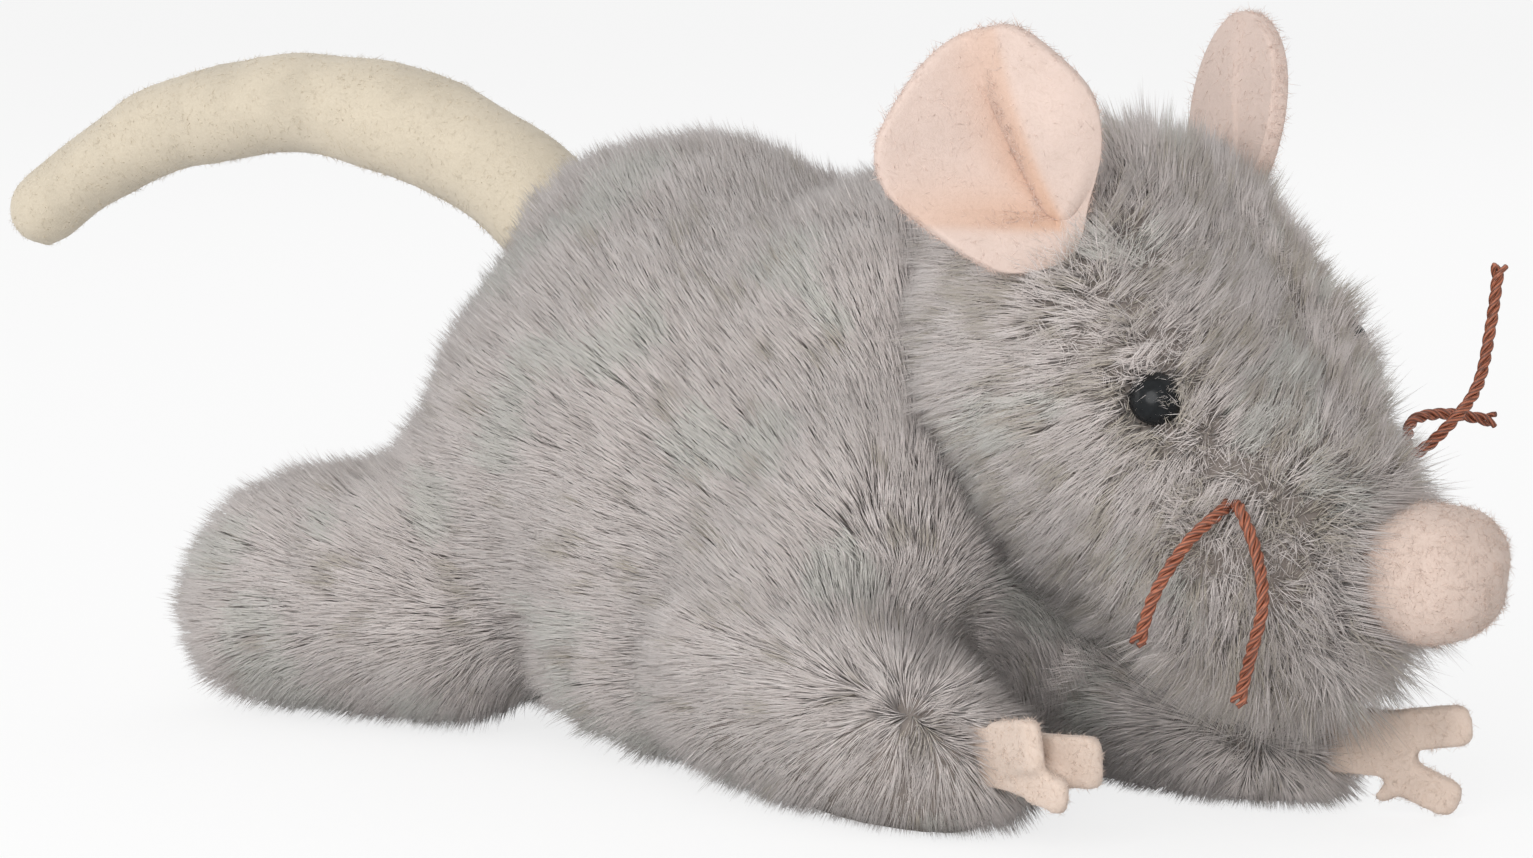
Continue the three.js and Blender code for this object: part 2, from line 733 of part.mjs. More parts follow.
function addLeg(name, leg, hand) {
  const pivot = leg.root.clone().setY(leg.seamY);
  const limb = addBody(mouse, pivot);
  const lobe = (grow) => solid(loft(legRings(leg, grow)));
  let skin = lobe(0).subtract(lobe(-PLUSH)).subtract(bodySolid(GAP)).subtract(floor);
  let filling = lobe(-PLUSH - GAP).subtract(bodySolid(2 * GAP));
  if (hand) {
    const frame = handFrame(leg, hand);
    skin = skin.subtract(handSlit(frame, GAP));
    filling = filling.subtract(handSlit(frame, 2 * GAP));
    const wrist = addBody(limb, new THREE.Vector3().setFromMatrixPosition(frame));
    addPiece(wrist, name.replace("foreleg", "hand"), handSolid(frame, hand.fingers), pinkFelt);
  }
  addPiece(limb, name + "_skin", skin, plush);
  addPiece(limb, name + "_filling", filling, fibre);
}

function addHead() {
  const face = addBody(mouse, neck);
  const eyes = { right: eyePlace(RIGHT), left: eyePlace(LEFT) };
  const channel = whiskerChannel();
  let skin = eggSolid(head).subtract(eggSolid(head, -PLUSH)).subtract(bodySolid(GAP));
  let filling = eggSolid(head, -PLUSH - GAP).subtract(bodySolid(2 * GAP));
  for (const [name, place] of Object.entries(eyes)) {
    skin = skin.subtract(eyeHole(place, EYE_STEM_RADIUS + GAP, washerBack));
    filling = filling.subtract(eyeHole(place, WASHER_RADIUS + GAP, stemDepth + GAP));
    addPiece(face, name + "_eye", eyeSolid(place), eyePlastic);
    addPiece(face, name + "_eye_washer", washerSolid(place), washerPlastic);
  }
  addPiece(face, "head_skin", skin.subtract(channel), plush);
  addPiece(face, "head_filling", filling.subtract(channel), fibre);
  addPiece(
    face,
    "front_whisker_cord",
    whiskerSolid(FRONT_WHISKER_RIGHT, FRONT_WHISKER_LEFT, 1),
    twistedCord,
  );
  addPiece(
    face,
    "rear_whisker_cord",
    whiskerSolid(REAR_WHISKER_RIGHT, REAR_WHISKER_LEFT, -1),
    twistedCord,
  );
  const muzzle = eggSolid(head, GAP);
  const tip = eggPoint(head, HEAD_FRONT, 0).add(new THREE.Vector3(NOSE_RADIUS - NOSE_SINK, 0, 0));
  const cover = ball(tip, NOSE_RADIUS).subtract(ball(tip, NOSE_RADIUS - FELT));
  addPiece(face, "nose_cover", cover.subtract(muzzle), pinkFelt);
  const stuffing = ball(tip, NOSE_RADIUS - FELT - GAP).subtract(muzzle);
  addPiece(face, "nose_filling", stuffing, fibre);
  for (const [name, side] of [
    ["right_ear", RIGHT],
    ["left_ear", LEFT],
  ]) {
    const ear = earPetal(side);
    const petal = earSolid(ear).subtract(eggSolid(head, EAR_CLEARANCE));
    addPiece(addBody(face, ear.root), name, petal, pinkFelt);
  }
}

addTrunk();
addTail();
addLeg("right_foreleg", foreleg(RIGHT, RIGHT_FORELEG_AHEAD, RIGHT_FORELEG_TURN), RIGHT_HAND);
addLeg("left_foreleg", foreleg(LEFT, LEFT_FORELEG_AHEAD, LEFT_FORELEG_TURN), LEFT_HAND);
addLeg("right_hind_leg", hindLeg(RIGHT));
addLeg("left_hind_leg", hindLeg(LEFT));
addHead();

export default mouse;
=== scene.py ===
import json
import math
from contextlib import contextmanager

import bpy
import numpy as np
from bpy.props import FloatProperty, FloatVectorProperty, IntProperty, PointerProperty
from mathutils import Matrix, Vector, noise
from mathutils.bvhtree import BVHTree
from mathutils.kdtree import KDTree

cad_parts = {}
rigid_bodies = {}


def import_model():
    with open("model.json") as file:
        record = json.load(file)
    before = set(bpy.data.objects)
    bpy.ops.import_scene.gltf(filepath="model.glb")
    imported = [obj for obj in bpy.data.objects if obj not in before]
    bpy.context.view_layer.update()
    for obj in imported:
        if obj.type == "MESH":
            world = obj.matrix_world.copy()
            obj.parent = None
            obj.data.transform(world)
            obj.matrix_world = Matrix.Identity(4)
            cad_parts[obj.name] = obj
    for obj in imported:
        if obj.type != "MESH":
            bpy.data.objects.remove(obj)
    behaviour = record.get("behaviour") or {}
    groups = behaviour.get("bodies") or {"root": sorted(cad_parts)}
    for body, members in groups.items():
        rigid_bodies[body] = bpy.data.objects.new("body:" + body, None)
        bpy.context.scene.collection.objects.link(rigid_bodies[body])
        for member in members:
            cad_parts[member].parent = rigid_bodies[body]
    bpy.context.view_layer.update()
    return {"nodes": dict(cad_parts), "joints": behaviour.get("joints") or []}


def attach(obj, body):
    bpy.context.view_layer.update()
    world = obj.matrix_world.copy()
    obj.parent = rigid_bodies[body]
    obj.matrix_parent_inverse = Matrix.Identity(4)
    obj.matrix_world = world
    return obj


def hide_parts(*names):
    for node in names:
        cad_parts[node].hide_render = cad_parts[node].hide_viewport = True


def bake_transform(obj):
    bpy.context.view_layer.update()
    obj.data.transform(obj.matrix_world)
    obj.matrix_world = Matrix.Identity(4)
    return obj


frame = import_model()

bl_info = {
    "name": "Catnip Mouse",
    "version": (1, 0, 0),
    "blender": (4, 5, 0),
    "location": "3D View > Sidebar > Catnip Mouse",
    "description": "Dresses the catnip mouse in plush, felt and cord",
    "category": "Object",
}

MM = 0.001
RIGHT, LEFT = -1, 1
SIDES = {"right": RIGHT, "left": LEFT}
JOINTS = {joint["name"]: joint for joint in frame["joints"]}
RNG_SEED = 1518
FLOOR_GAP = 0.25  # fur and felt lie no lower than this over the floor


def linear(hex_colour):
    """An sRGB hex colour as linear red, green, blue."""
    shares = [int(hex_colour[i : i + 2], 16) / 255 for i in (1, 3, 5)]
    return [s / 12.92 if s <= 0.04045 else ((s + 0.055) / 1.055) ** 2.4 for s in shares]


def length_property(name, description, millimetres):
    return FloatProperty(
        name=name, description=description, default=millimetres * MM, unit="LENGTH", precision=5
    )


def colour_property(name, description, hex_colour):
    return FloatVectorProperty(
        name=name, description=description, default=linear(hex_colour), subtype="COLOR", min=0, max=1
    )


class MouseSizes(bpy.types.PropertyGroup):
    """Sizes of the soft pieces"""

    nap_depth: length_property("Nap depth", "How far the backing lies under the tips of the pile", 1.8)
    body_pile: length_property("Body pile", "Length of the fibres on the body and legs", 3.7)
    face_pile: length_property("Face pile", "Length of the fibres on the head", 3.9)
    fibre_width: length_property("Fibre width", "Thickness of a lock of the pile at its root", 0.13)
    felt: length_property("Felt", "Thickness of the felt of ears and hands", 1.6)
    whisker: length_property("Whisker cord", "Diameter of the twisted whisker cord", 1.1)
    whisker_lay: length_property("Whisker lay", "Length of one turn of the cord's three plies", 3.6)
    nose_radius: length_property("Nose radius", "Radius of the felt nose", 6.3)
    eye_radius: length_property("Eye radius", "Radius of the eye's dome", 2.25)
    body_fibres: IntProperty(
        name="Body fibres", description="Locks of pile on the body and legs", default=300000
    )
    head_fibres: IntProperty(name="Head fibres", description="Locks of pile on the head", default=100000)


class MouseColours(bpy.types.PropertyGroup):
    """Colours of the materials"""

    plush: colour_property("Plush", "Tips of the grey pile", "#ddd4d0")
    plush_light: colour_property("Light plush", "Palest locks of the pile", "#eae2df")
    plush_green: colour_property("Green plush", "Cool greenish locks of the pile", "#d6d3cd")
    plush_olive: colour_property("Olive plush", "Dull brown locks deep in the pile", "#c3baab")
    backing: colour_property("Backing", "Knitted backing under the pile", "#8a817b")
    cream_felt: colour_property("Cream felt", "Tail", "#c9beab")
    pink_felt: colour_property("Pink felt", "Ears", "#d2beb4")
    nose_felt: colour_property("Nose felt", "Nose", "#ccb9ae")
    hand_felt: colour_property("Hand felt", "Hands", "#d0beb1")
    cord: colour_property("Cord", "Red-brown whiskers", "#955941")
    eye: colour_property("Eye", "Black eyes", "#101214")


class Step:
    """A step of the mouse, which makes its pieces from the sizes in the sidebar."""

    def execute(self, context):
        self.make(context.scene.mouse_sizes)
        return {"FINISHED"}


# Small tools


def activate(*objects):
    """Selects these pieces alone, the first of them active."""
    bpy.ops.object.select_all(action="DESELECT")
    for obj in objects:
        obj.select_set(True)
    bpy.context.view_layer.objects.active = objects[0]


@contextmanager
def editing(obj, action=None):
    """Edit mode on a piece, with that action on its selection first."""
    activate(obj)
    bpy.ops.object.mode_set(mode="EDIT")
    if action:
        bpy.ops.mesh.select_all(action=action)
    yield
    bpy.ops.object.mode_set(mode="OBJECT")


def unit(vectors):
    return vectors / np.maximum(np.linalg.norm(vectors, axis=-1, keepdims=True), 1e-9)


def read(items, name, width, kind=np.float32):
    values = np.empty(len(items) * width, kind)
    items.foreach_get(name, values)
    return values.reshape(-1, width)


def points_of(obj):
    """The piece's points in millimetres."""
    return read(obj.data.vertices, "co", 3).astype(float) / MM


def normals_of(obj):
    return read(obj.data.vertices, "normal", 3).astype(float)


def set_points(obj, points):
    obj.data.vertices.foreach_set("co", (points * MM).astype(np.float32).ravel())
    obj.data.update()


def bell(gap, reach):
    """1 where the gap is nothing, falling off within that reach."""
    return np.exp(-((gap / reach) ** 2))


def climb(value, reach):
    """From 0 to 1 over that reach."""
    return np.clip(value / reach, 0, 1)


def noise_at(points, size):
    return np.array([noise.noise(Vector(point) / size) for point in points])


def eddies_at(points, size):
    """Noise vectors at points, seeded because their pattern comes from the clock otherwise."""
    noise.seed_set(RNG_SEED)
    return np.array([noise.noise_vector(Vector(point) / size) for point in points])


def distance_to(points, *places):
    return np.min([np.linalg.norm(points - np.array(p), axis=1) for p in places], axis=0)


def named(name):
    obj = bpy.context.object
    obj.name = name
    obj.data.name = name
    return obj


def add_object(name, data):
    obj = bpy.data.objects.new(name, data)
    bpy.context.scene.collection.objects.link(obj)
    return obj


def apply_modifier(obj, kind, **settings):
    activate(obj)
    modifier = obj.modifiers.new(kind.title(), kind)
    for name, value in settings.items():
        setattr(modifier, name, value)
    bpy.ops.object.modifier_apply(modifier=modifier.name)


def join(name, *objects):
    activate(*objects)
    bpy.ops.object.join()
    return named(name)


def smooth(obj):
    activate(obj)
    bpy.ops.object.shade_smooth()


def paint(obj, material):
    obj.data.materials.clear()
    obj.data.materials.append(material)


def dress(obj, material, slot, body, *nodes, fill=None):
    """Paints a piece, hangs it on the body it rides on (a leg's piece is only fixed in place) and hides the
    solids it stands for; how full it is, fill, is not used.
    """
    paint(obj, material)
    if body in LEGS:
        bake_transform(obj)
    else:
        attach(obj, body)
    if nodes:
        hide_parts(*nodes)


def joint_place(name):
    return np.array(JOINTS[name]["pos_m"], float) / MM


# Forms of the sewn skins, in millimetres


def swelling(t, fullness):
    return np.maximum(0, 1 - np.abs(t) ** fullness) ** (1 / fullness)


def body_rise(x):
    return np.where(x < 0, -6.5 * (x / 34.5) ** 2, 0)


def head_rise(x):
    muzzle = -14.5 * (1 - np.cos(np.pi * climb(x, 26.5) ** 0.82)) / 2
    return np.where(x < 0, -4 * x / 24, muzzle)


BODY = {
    "middle": (0, 0, 26.5), "rear": 34.5, "front": 31, "half_width": 24.5, "half_height": 27,
    "rear_fullness": 1.85, "front_fullness": 2.2, "over": 2, "under": 2.7, "rise": body_rise,
}
HEAD = {
    "middle": (49, 0, 37.5), "rear": 24, "front": 26.5, "half_width": 20, "half_height": 21,
    "rear_fullness": 2.1, "front_fullness": 1.65, "over": 1.9, "under": 2.1, "rise": head_rise,
}
NECK = (23, 0, 34), (20, 20, 20)
LOBES = (
    # middle and half sizes of the stuffing at shoulders, chest, back and elbows
    ((28.5, -12, 23.5), (14.5, 12.3, 14.5)), ((28.5, 12, 23.5), (14.5, 12.3, 14.5)),
    ((33, 0, 15), (14, 15, 13)), ((-3, 0, 36), (24, 16, 20)),
    ((7, -19.5, 9.5), (15, 8.5, 9.5)), ((7, 19.5, 9.5), (15, 8.5, 9.5)),
)
NOSE, NOSE_FULLNESS, NOSE_LUMPS = (77.8, 0, 23), 2.5, 0.07
CROWN = (52, -2, 57)
CLOTH_SCALE = 10  # the simulation works at the size of a seat cushion
CLOTH_PRESSURE, CLOTH_STEPS = 4.0, 20
CREASE_FILL = 0.8  # share of a hollow that one round fills


def egg_point(egg, x, angle, grow=0.0):
    """Points of an egg at x from its middle, at an angle from its left side up."""
    x, angle = np.asarray(x, float), np.asarray(angle, float)
    rear = x < 0
    reach = np.where(rear, egg["rear"], egg["front"]) + grow
    fullness = np.where(rear, egg["rear_fullness"], egg["front_fullness"])
    share = swelling(np.clip(x / reach, -1, 1), fullness)
    cos, sin = np.cos(angle), np.sin(angle)
    power = np.where(sin < 0, 2 / egg["under"], 2 / egg["over"])
    across = (egg["half_width"] + grow) * share * np.sign(cos) * np.abs(cos) ** power
    upward = (egg["half_height"] + grow) * share * np.sign(sin) * np.abs(sin) ** power
    return np.stack([x, across, egg["rise"](x) + upward], -1) + egg["middle"]


def egg_normal(egg, x, angle, step=0.01):
    along = egg_point(egg, x + step, angle) - egg_point(egg, x - step, angle)
    around = egg_point(egg, x, angle + step) - egg_point(egg, x, angle - step)
    return unit(np.cross(around, along))


def ball(name, segments=48, rings=24):
    """A ball to be shaped, and its points at a radius of 1."""
    bpy.ops.mesh.primitive_uv_sphere_add(segments=segments, ring_count=rings, radius=1000 * MM)
    skin = named(name)
    return skin, points_of(skin) / 1000


def lobe(middle, size, grow):
    skin, points = ball("lobe")
    set_points(skin, points * (np.array(size) + grow) + middle)
    return skin


def egg_skin(name, egg, grow):
    """A ball drawn out to an egg-shaped skin."""
    skin, points = ball(name, 64, 32)
    t = np.clip(points[:, 0], -1, 1)
    x = t * (np.where(t < 0, egg["rear"], egg["front"]) + grow)
    set_points(skin, egg_point(egg, x, np.arctan2(points[:, 2], points[:, 1]), grow))
    return skin


def fill_creases(skin, rounds):
    """Fills the hollows between joined lobes, as stuffing does, and leaves the round parts as they are."""
    edges = read(skin.data.edges, "vertices", 2, np.int32)
    near, far = np.concatenate([edges, edges[:, ::-1]]).T
    count = np.bincount(near, minlength=len(skin.data.vertices))[:, None]
    for _ in range(rounds):
        points, normals = points_of(skin), normals_of(skin)
        total = [np.bincount(near, points[far, i], len(points)) for i in range(3)]
        mean = np.stack(total, 1) / count
        out = np.maximum(0, ((mean - points) * normals).sum(1, keepdims=True))
        set_points(skin, points + CREASE_FILL * out * normals)


def stuff(skin, voxel, cap, filled=0):
    """Evens out the sewn skin and lets its filling swell it, no further than cap."""
    apply_modifier(skin, "REMESH", mode="VOXEL", voxel_size=voxel * MM)
    apply_modifier(skin, "SMOOTH", factor=0.5, iterations=4)
    fill_creases(skin, filled)
    rest = points_of(skin)
    set_points(skin, rest * CLOTH_SCALE)
    activate(skin)
    cloth = skin.modifiers.new("Cloth", "CLOTH")
    cloth.settings.use_pressure = True
    cloth.settings.uniform_pressure_force = CLOTH_PRESSURE
    cloth.settings.effector_weights.gravity = 0
    for step in range(CLOTH_STEPS):
        bpy.context.scene.frame_set(step + 1)
    bpy.ops.object.modifier_apply(modifier=cloth.name)
    bpy.context.scene.frame_set(1)
    moved = points_of(skin) / CLOTH_SCALE - rest
    far = np.linalg.norm(moved, axis=1, keepdims=True)
    set_points(skin, rest + moved * (cap * np.tanh(far / cap) / np.maximum(far, 1e-9)))
    apply_modifier(skin, "SUBSURF", levels=1, render_levels=1)
    smooth(skin)


def add_lumps(skin, size, height):
    """Raises the lumps that a filling has."""
    points = points_of(skin)
    set_points(skin, points + normals_of(skin) * (height * noise_at(points, size))[:, None])


def rest_on_floor(skin):
    points = points_of(skin)
    points[:, 2] = np.maximum(points[:, 2], FLOOR_GAP)
    set_points(skin, points)


# Materials


def put(tree, socket, value):
    """Links a socket to another or gives it a value."""
    if isinstance(value, bpy.types.NodeSocket):
        tree.links.new(value, socket)
    else:
        socket.default_value = value


def add_node(tree, kind, inputs=(), **settings):
    """Adds a node with its settings, values and links, and gives its outputs."""
    made = tree.nodes.new("ShaderNode" + kind)
    for name, value in settings.items():
        setattr(made, name, value)
    for socket, value in dict(inputs).items():
        put(tree, made.inputs[socket], value)
    return made.outputs


def texture(tree, kind, size, inputs=(), **settings):
    """A texture in the piece's own space, with features of that many millimetres."""
    place = add_node(tree, "TexCoord")["Object"]
    return add_node(tree, kind, {"Vector": place, "Scale": 1 / (size * MM), **dict(inputs)}, **settings)


def ramp(tree, factor, stops):
    made = tree.nodes.new("ShaderNodeValToRGB")
    put(tree, made.inputs["Fac"], factor)
    elements = made.color_ramp.elements
    while len(elements) < len(stops):
        elements.new(0.5)
    for element, (position, colour) in zip(elements, stops):
        element.position = position
        element.color = (*colour, 1)
    return made.outputs["Color"]


def multiply(tree, a, b):
    return add_node(tree, "Mix", {0: 1.0, 6: a, 7: b}, data_type="RGBA", blend_type="MULTIPLY")[2]


def bump(tree, height, strength, depth):
    return add_node(tree, "Bump", {"Height": height, "Strength": strength, "Distance": depth * MM})["Normal"]


def fibre_place(tree):
    """The tone of a fibre as X, and the place along it, from root to tip, as Y."""
    return add_node(tree, "SeparateXYZ", {"Vector": add_node(tree, "UVMap", uv_map="OFBake")["UV"]})


def shade(colour, factor):
    return [min(1.0, c * factor) for c in colour]


def material_of(name, make):
    """The material of that name. If it is new, make gives the inputs of its surface."""
    material = bpy.data.materials.get(name)
    if not material:
        material = bpy.data.materials.new(name)
        material.use_nodes = True
        tree = material.node_tree
        for socket, value in make(tree, bpy.context.scene.mouse_colours).items():
            put(tree, tree.nodes["Principled BSDF"].inputs[socket], value)
    return material


def plush_pile():
    """Acrylic plush pile, brushed: soft locks in pinkish, greenish and olive grey, with painted shade at the
    root.
    """

    def make(tree, colours):
        place = fibre_place(tree)
        tones = [
            (0.0, colours.plush_olive), (0.22, shade(colours.plush, 0.82)), (0.45, colours.plush),
            (0.66, colours.plush_light), (0.8, colours.plush_green), (1.0, shade(colours.plush_green, 1.05)),
        ]
        # painted shade: each lock darkens towards its root, where shade falls deep in the pile
        depth = ramp(tree, place["Y"], [(0.0, [0.66] * 3), (0.4, [0.9] * 3), (1.0, [1.0] * 3)])
        return {
            "Base Color": multiply(tree, ramp(tree, place["X"], tones), depth),
            "Roughness": 0.7, "Specular IOR Level": 0.25, "Sheen Weight": 0.15,
        }

    return material_of("acrylic_plush_pile", make)


def plush_backing():
    """Knitted polyester backing of the plush: dull, dark and ribbed, seen only in partings."""

    def make(tree, colours):
        mottle = texture(tree, "TexNoise", 1.2, {"Detail": 3.0})["Fac"]
        return {
            "Base Color": ramp(tree, mottle, [(0.3, shade(colours.backing, 0.7)), (0.7, colours.backing)]),
            "Normal": bump(tree, mottle, 0.6, 0.4), "Roughness": 0.95,
        }

    return material_of("knitted_plush_backing", make)


FELTS = {
    # colour: name, tint between the matted fibres, share of the colour left in its stains
    "cream_felt": ("cream_wool_felt", (0.93, 0.92, 0.9), 0.9),
    "nose_felt": ("nose_wool_felt", (0.93, 0.91, 0.89), 0.94),
    "pink_felt": ("pink_wool_felt", (0.93, 0.91, 0.89), 0.95),
    "hand_felt": ("peach_wool_felt", (0.92, 0.89, 0.86), 0.9),
}
FOLD_PAINTED_SHADE = "#c99c7c"  # painted brown shade in the folds of the ears


def wool_felt(kind):
    """Pressed wool felt: matted short fibres, mottled tone and a soft bloom at grazing light."""
    name, deep, stained = FELTS[kind]

    def make(tree, colours):
        colour = getattr(colours, kind)
        cloud = texture(tree, "TexNoise", 7, {"Detail": 4.0})["Fac"]
        matted = texture(tree, "TexNoise", 0.55, {"Detail": 6.0, "Roughness": 0.7, "Distortion": 1.5})["Fac"]
        base = ramp(tree, cloud, [(0.3, shade(colour, stained)), (0.48, colour), (0.7, shade(colour, 1.05))])
        fibres = ramp(tree, matted, [(0.3, deep), (0.55, (1, 1, 1))])
        # painted shade: the fold attribute mixes a brown shade into the ears' felt along their folds
        fold = add_node(tree, "Attribute", attribute_name="fold")["Fac"]
        folded = add_node(tree, "Mix", {0: fold, 6: base, 7: (*linear(FOLD_PAINTED_SHADE), 1)}, data_type="RGBA")[2]
        return {
            "Base Color": multiply(tree, folded, fibres), "Normal": bump(tree, matted, 0.4, 0.2),
            "Roughness": 0.95, "Specular IOR Level": 0.15, "Sheen Weight": 0.2,
        }

    return material_of(name, make)


def felt_fuzz(kind):
    """Loose wool fibres that stand off the felt and blur its edge, with painted light against their own
    shade.
    """

    def make(tree, colours):
        colour = getattr(colours, kind)
        # painted light: the loose fibres are 5 to 35 percent lighter than their felt, to offset the shade
        # they get
        tones = [(0.0, shade(colour, 1.05)), (1.0, shade(colour, 1.35))]
        tone = ramp(tree, fibre_place(tree)["X"], tones)
        return {"Base Color": tone, "Roughness": 0.9, "Specular IOR Level": 0.15}

    return material_of("loose_" + kind, make)


def eye_plastic():
    """Moulded black plastic, polished, with faint dust in its gloss."""

    def make(tree, colours):
        dust = texture(tree, "TexNoise", 0.8, {"Detail": 5.0})["Fac"]
        return {
            "Base Color": ramp(tree, dust, [(0.35, colours.eye), (0.75, shade(colours.eye, 2.2))]),
            "Roughness": add_node(tree, "MapRange", {"Value": dust, "To Min": 0.12, "To Max": 0.3})["Result"],
            "Specular IOR Level": 0.2,
        }

    return material_of("polished_black_plastic", make)


def washer_plastic():
    """Natural white moulded plastic, faintly clouded."""

    def make(tree, colours):
        cloud = texture(tree, "TexNoise", 2, {"Detail": 3.0})["Fac"]
        tone = ramp(tree, cloud, [(0.3, linear("#cfcfca")), (0.7, linear("#e2e2dd"))])
        return {"Base Color": tone, "Roughness": 0.4}

    return material_of("white_moulded_plastic", make)


def waxed_cord():
    """Three-ply waxed cotton cord: red-brown plies with fine fibres along each and dark valleys between."""

    def make(tree, colours):
        place = add_node(tree, "UVMap", uv_map="ply")["UV"]
        turned = add_node(tree, "Mapping", {"Vector": place, "Rotation": (0, 0, 0.5)})["Vector"]
        wave = {"Vector": turned, "Scale": 1.6, "Distortion": 3.0, "Detail": 3.0}
        fibres = add_node(tree, "TexWave", wave)["Fac"]
        blotch = texture(tree, "TexNoise", 2.5)["Fac"]
        tones = [(0.1, shade(colours.cord, 0.45)), (0.6, colours.cord), (1.0, shade(colours.cord, 1.5))]
        worn = ramp(tree, blotch, [(0.35, (0.75, 0.7, 0.68)), (0.65, (1, 1, 1))])
        return {
            "Base Color": multiply(tree, ramp(tree, fibres, tones), worn),
            "Normal": bump(tree, fibres, 0.4, 0.06), "Roughness": 0.55,
        }

    return material_of("waxed_cotton_cord", make)


def muslin():
    """Plain-woven cotton muslin, open and unbleached."""

    def make(tree, colours):
        warp, weft = (
            texture(tree, "TexWave", 10, {"Distortion": 0.6}, bands_direction=direction)["Fac"]
            for direction in ("X", "Y")
        )
        weave = add_node(tree, "Math", {0: warp, 1: weft}, operation="MAXIMUM")["Value"]
        tone = ramp(tree, weave, [(0.2, linear("#b9ad93")), (0.8, linear("#e6dcc6"))])
        return {"Base Color": tone, "Roughness": 0.9}

    return material_of("cotton_muslin", make)


def dried_catnip():
    """Crumbled dried leaf: grey-green flakes with straw-coloured stalk."""

    def make(tree, colours):
        flakes = texture(tree, "TexVoronoi", 1.5)["Color"]
        tones = [(0.1, linear("#4f5a33")), (0.5, linear("#717a48")), (0.9, linear("#a59a63"))]
        return {"Base Color": ramp(tree, flakes, tones), "Roughness": 1.0}

    return material_of("dried_catnip_leaf", make)


def studio_paper():
    """White seamless paper: the camera sees it almost white, and it keeps a soft shadow."""

    def make(tree, colours):
        seen = add_node(tree, "LightPath")["Is Camera Ray"]
        share = add_node(tree, "Math", {0: seen, 1: 0.8}, operation="MULTIPLY")["Value"]
        glow = add_node(tree, "Emission", {"Color": (1, 1, 1, 1), "Strength": 1.0})["Emission"]
        paper = tree.nodes["Principled BSDF"].outputs["BSDF"]
        mixed = add_node(tree, "MixShader", {0: share, 1: paper, 2: glow})["Shader"]
        put(tree, tree.nodes["Material Output"].inputs["Surface"], mixed)
        return {"Base Color": (0.9, 0.9, 0.9, 1), "Roughness": 0.95}

    return material_of("white_seamless_paper", make)


# Stage

LOOK_AT = (5, 0, 28.5)
TOWARDS_CAMERA = (0.6365, -0.7586, 0.1392)
CAMERA_DISTANCE = 480
CAMERA_LENS = 122.5
FLOOR_WIDTH = 6000
LAMPS = (
    # name, place, size, watts
    ("key", (300, -550, 260), 500, 2.65),
    ("fill", (-420, -480, 210), 500, 1.15),
    ("back", (-120, 460, 480), 500, 0.6),
)


def aim(obj, place):
    """Turns a lamp or the camera from its place to the toy."""
    obj.rotation_euler = (Vector(LOOK_AT) - place).to_track_quat("-Z", "Y").to_euler()


class MakeStage(Step, bpy.types.Operator):
    """Adds the floor, the soft lamps, the pale surround and the camera"""

    bl_idname = "catnip_mouse.make_stage"
    bl_label = "Stage"

    def make(self, sizes):
        scene = bpy.context.scene
        scene.view_settings.view_transform = "Standard"
        bpy.ops.mesh.primitive_plane_add(size=FLOOR_WIDTH * MM)
        floor = named("studio_floor")
        paint(floor, studio_paper())
        for name, place, size, power in LAMPS:
            bpy.ops.object.light_add(type="AREA", location=Vector(place) * MM)
            lamp = named("lamp_" + name)
            lamp.data.shape = "DISK"
            lamp.data.size = size * MM
            lamp.data.energy = power
            aim(lamp, Vector(place))
        scene.world = bpy.data.worlds.new("studio_surround")
        scene.world.use_nodes = True
        tree = scene.world.node_tree
        path = add_node(tree, "LightPath")
        rays = {0: path["Is Camera Ray"], 1: path["Is Glossy Ray"]}
        white = add_node(tree, "Math", rays, operation="MAXIMUM")["Value"]
        strength = add_node(tree, "MapRange", {"Value": white, "To Min": 0.6, "To Max": 1.0})["Result"]
        surround = tree.nodes["Background"].inputs
        put(tree, surround["Strength"], strength)
        put(tree, surround["Color"], (1, 1, 1, 1))
        place = Vector(LOOK_AT) + CAMERA_DISTANCE * Vector(TOWARDS_CAMERA).normalized()
        bpy.ops.object.camera_add(location=place * MM)
        scene.camera = named("camera")
        aim(scene.camera, place)
        scene.camera.data.lens = CAMERA_LENS
        scene.camera.data.sensor_width = 36
        scene.camera.data.clip_start = 0.01


# Whiskers

WHISKERS = {
    "front_whisker": (
        (68.5, -15.13, 12.97), (70, -15.43, 17.67), (70.8, -15.13, 21.67), (69.4, -14.13, 25.57),
        (67.2, -13.43, 28.92), (64.9, -10.6, 28.6), (64.9, 10.2, 30.2), (67.2, 12.91, 30.6),
        (69.3, 15.32, 33.25), (69.9, 18.32, 36.05), (69.6, 20.82, 40.95), (69.4, 22.32, 46.25),
    ),
    "rear_whisker": (
        (61.5, -19.63, 17.77), (62.8, -19.03, 22.17), (64.7, -17.13, 26.37), (65.8, -13.43, 28.92),
        (63.7, -10.9, 28.6), (63.7, 10.5, 30.2), (65.8, 12.91, 30.6), (64.7, 16.32, 32.85),
        (65.8, 19.32, 33.25), (68.9, 22.82, 32.55),
    ),
}
WHISKER_HOLES = ((66.5, -12.63, 28.97), (66.5, 12.12, 30.55))
PLIES, PLY_SIDES = 3, 8
SPLAY, SPLAY_REACH = 1.1, 1.4  # how far the plies part at the cut ends, and over what length


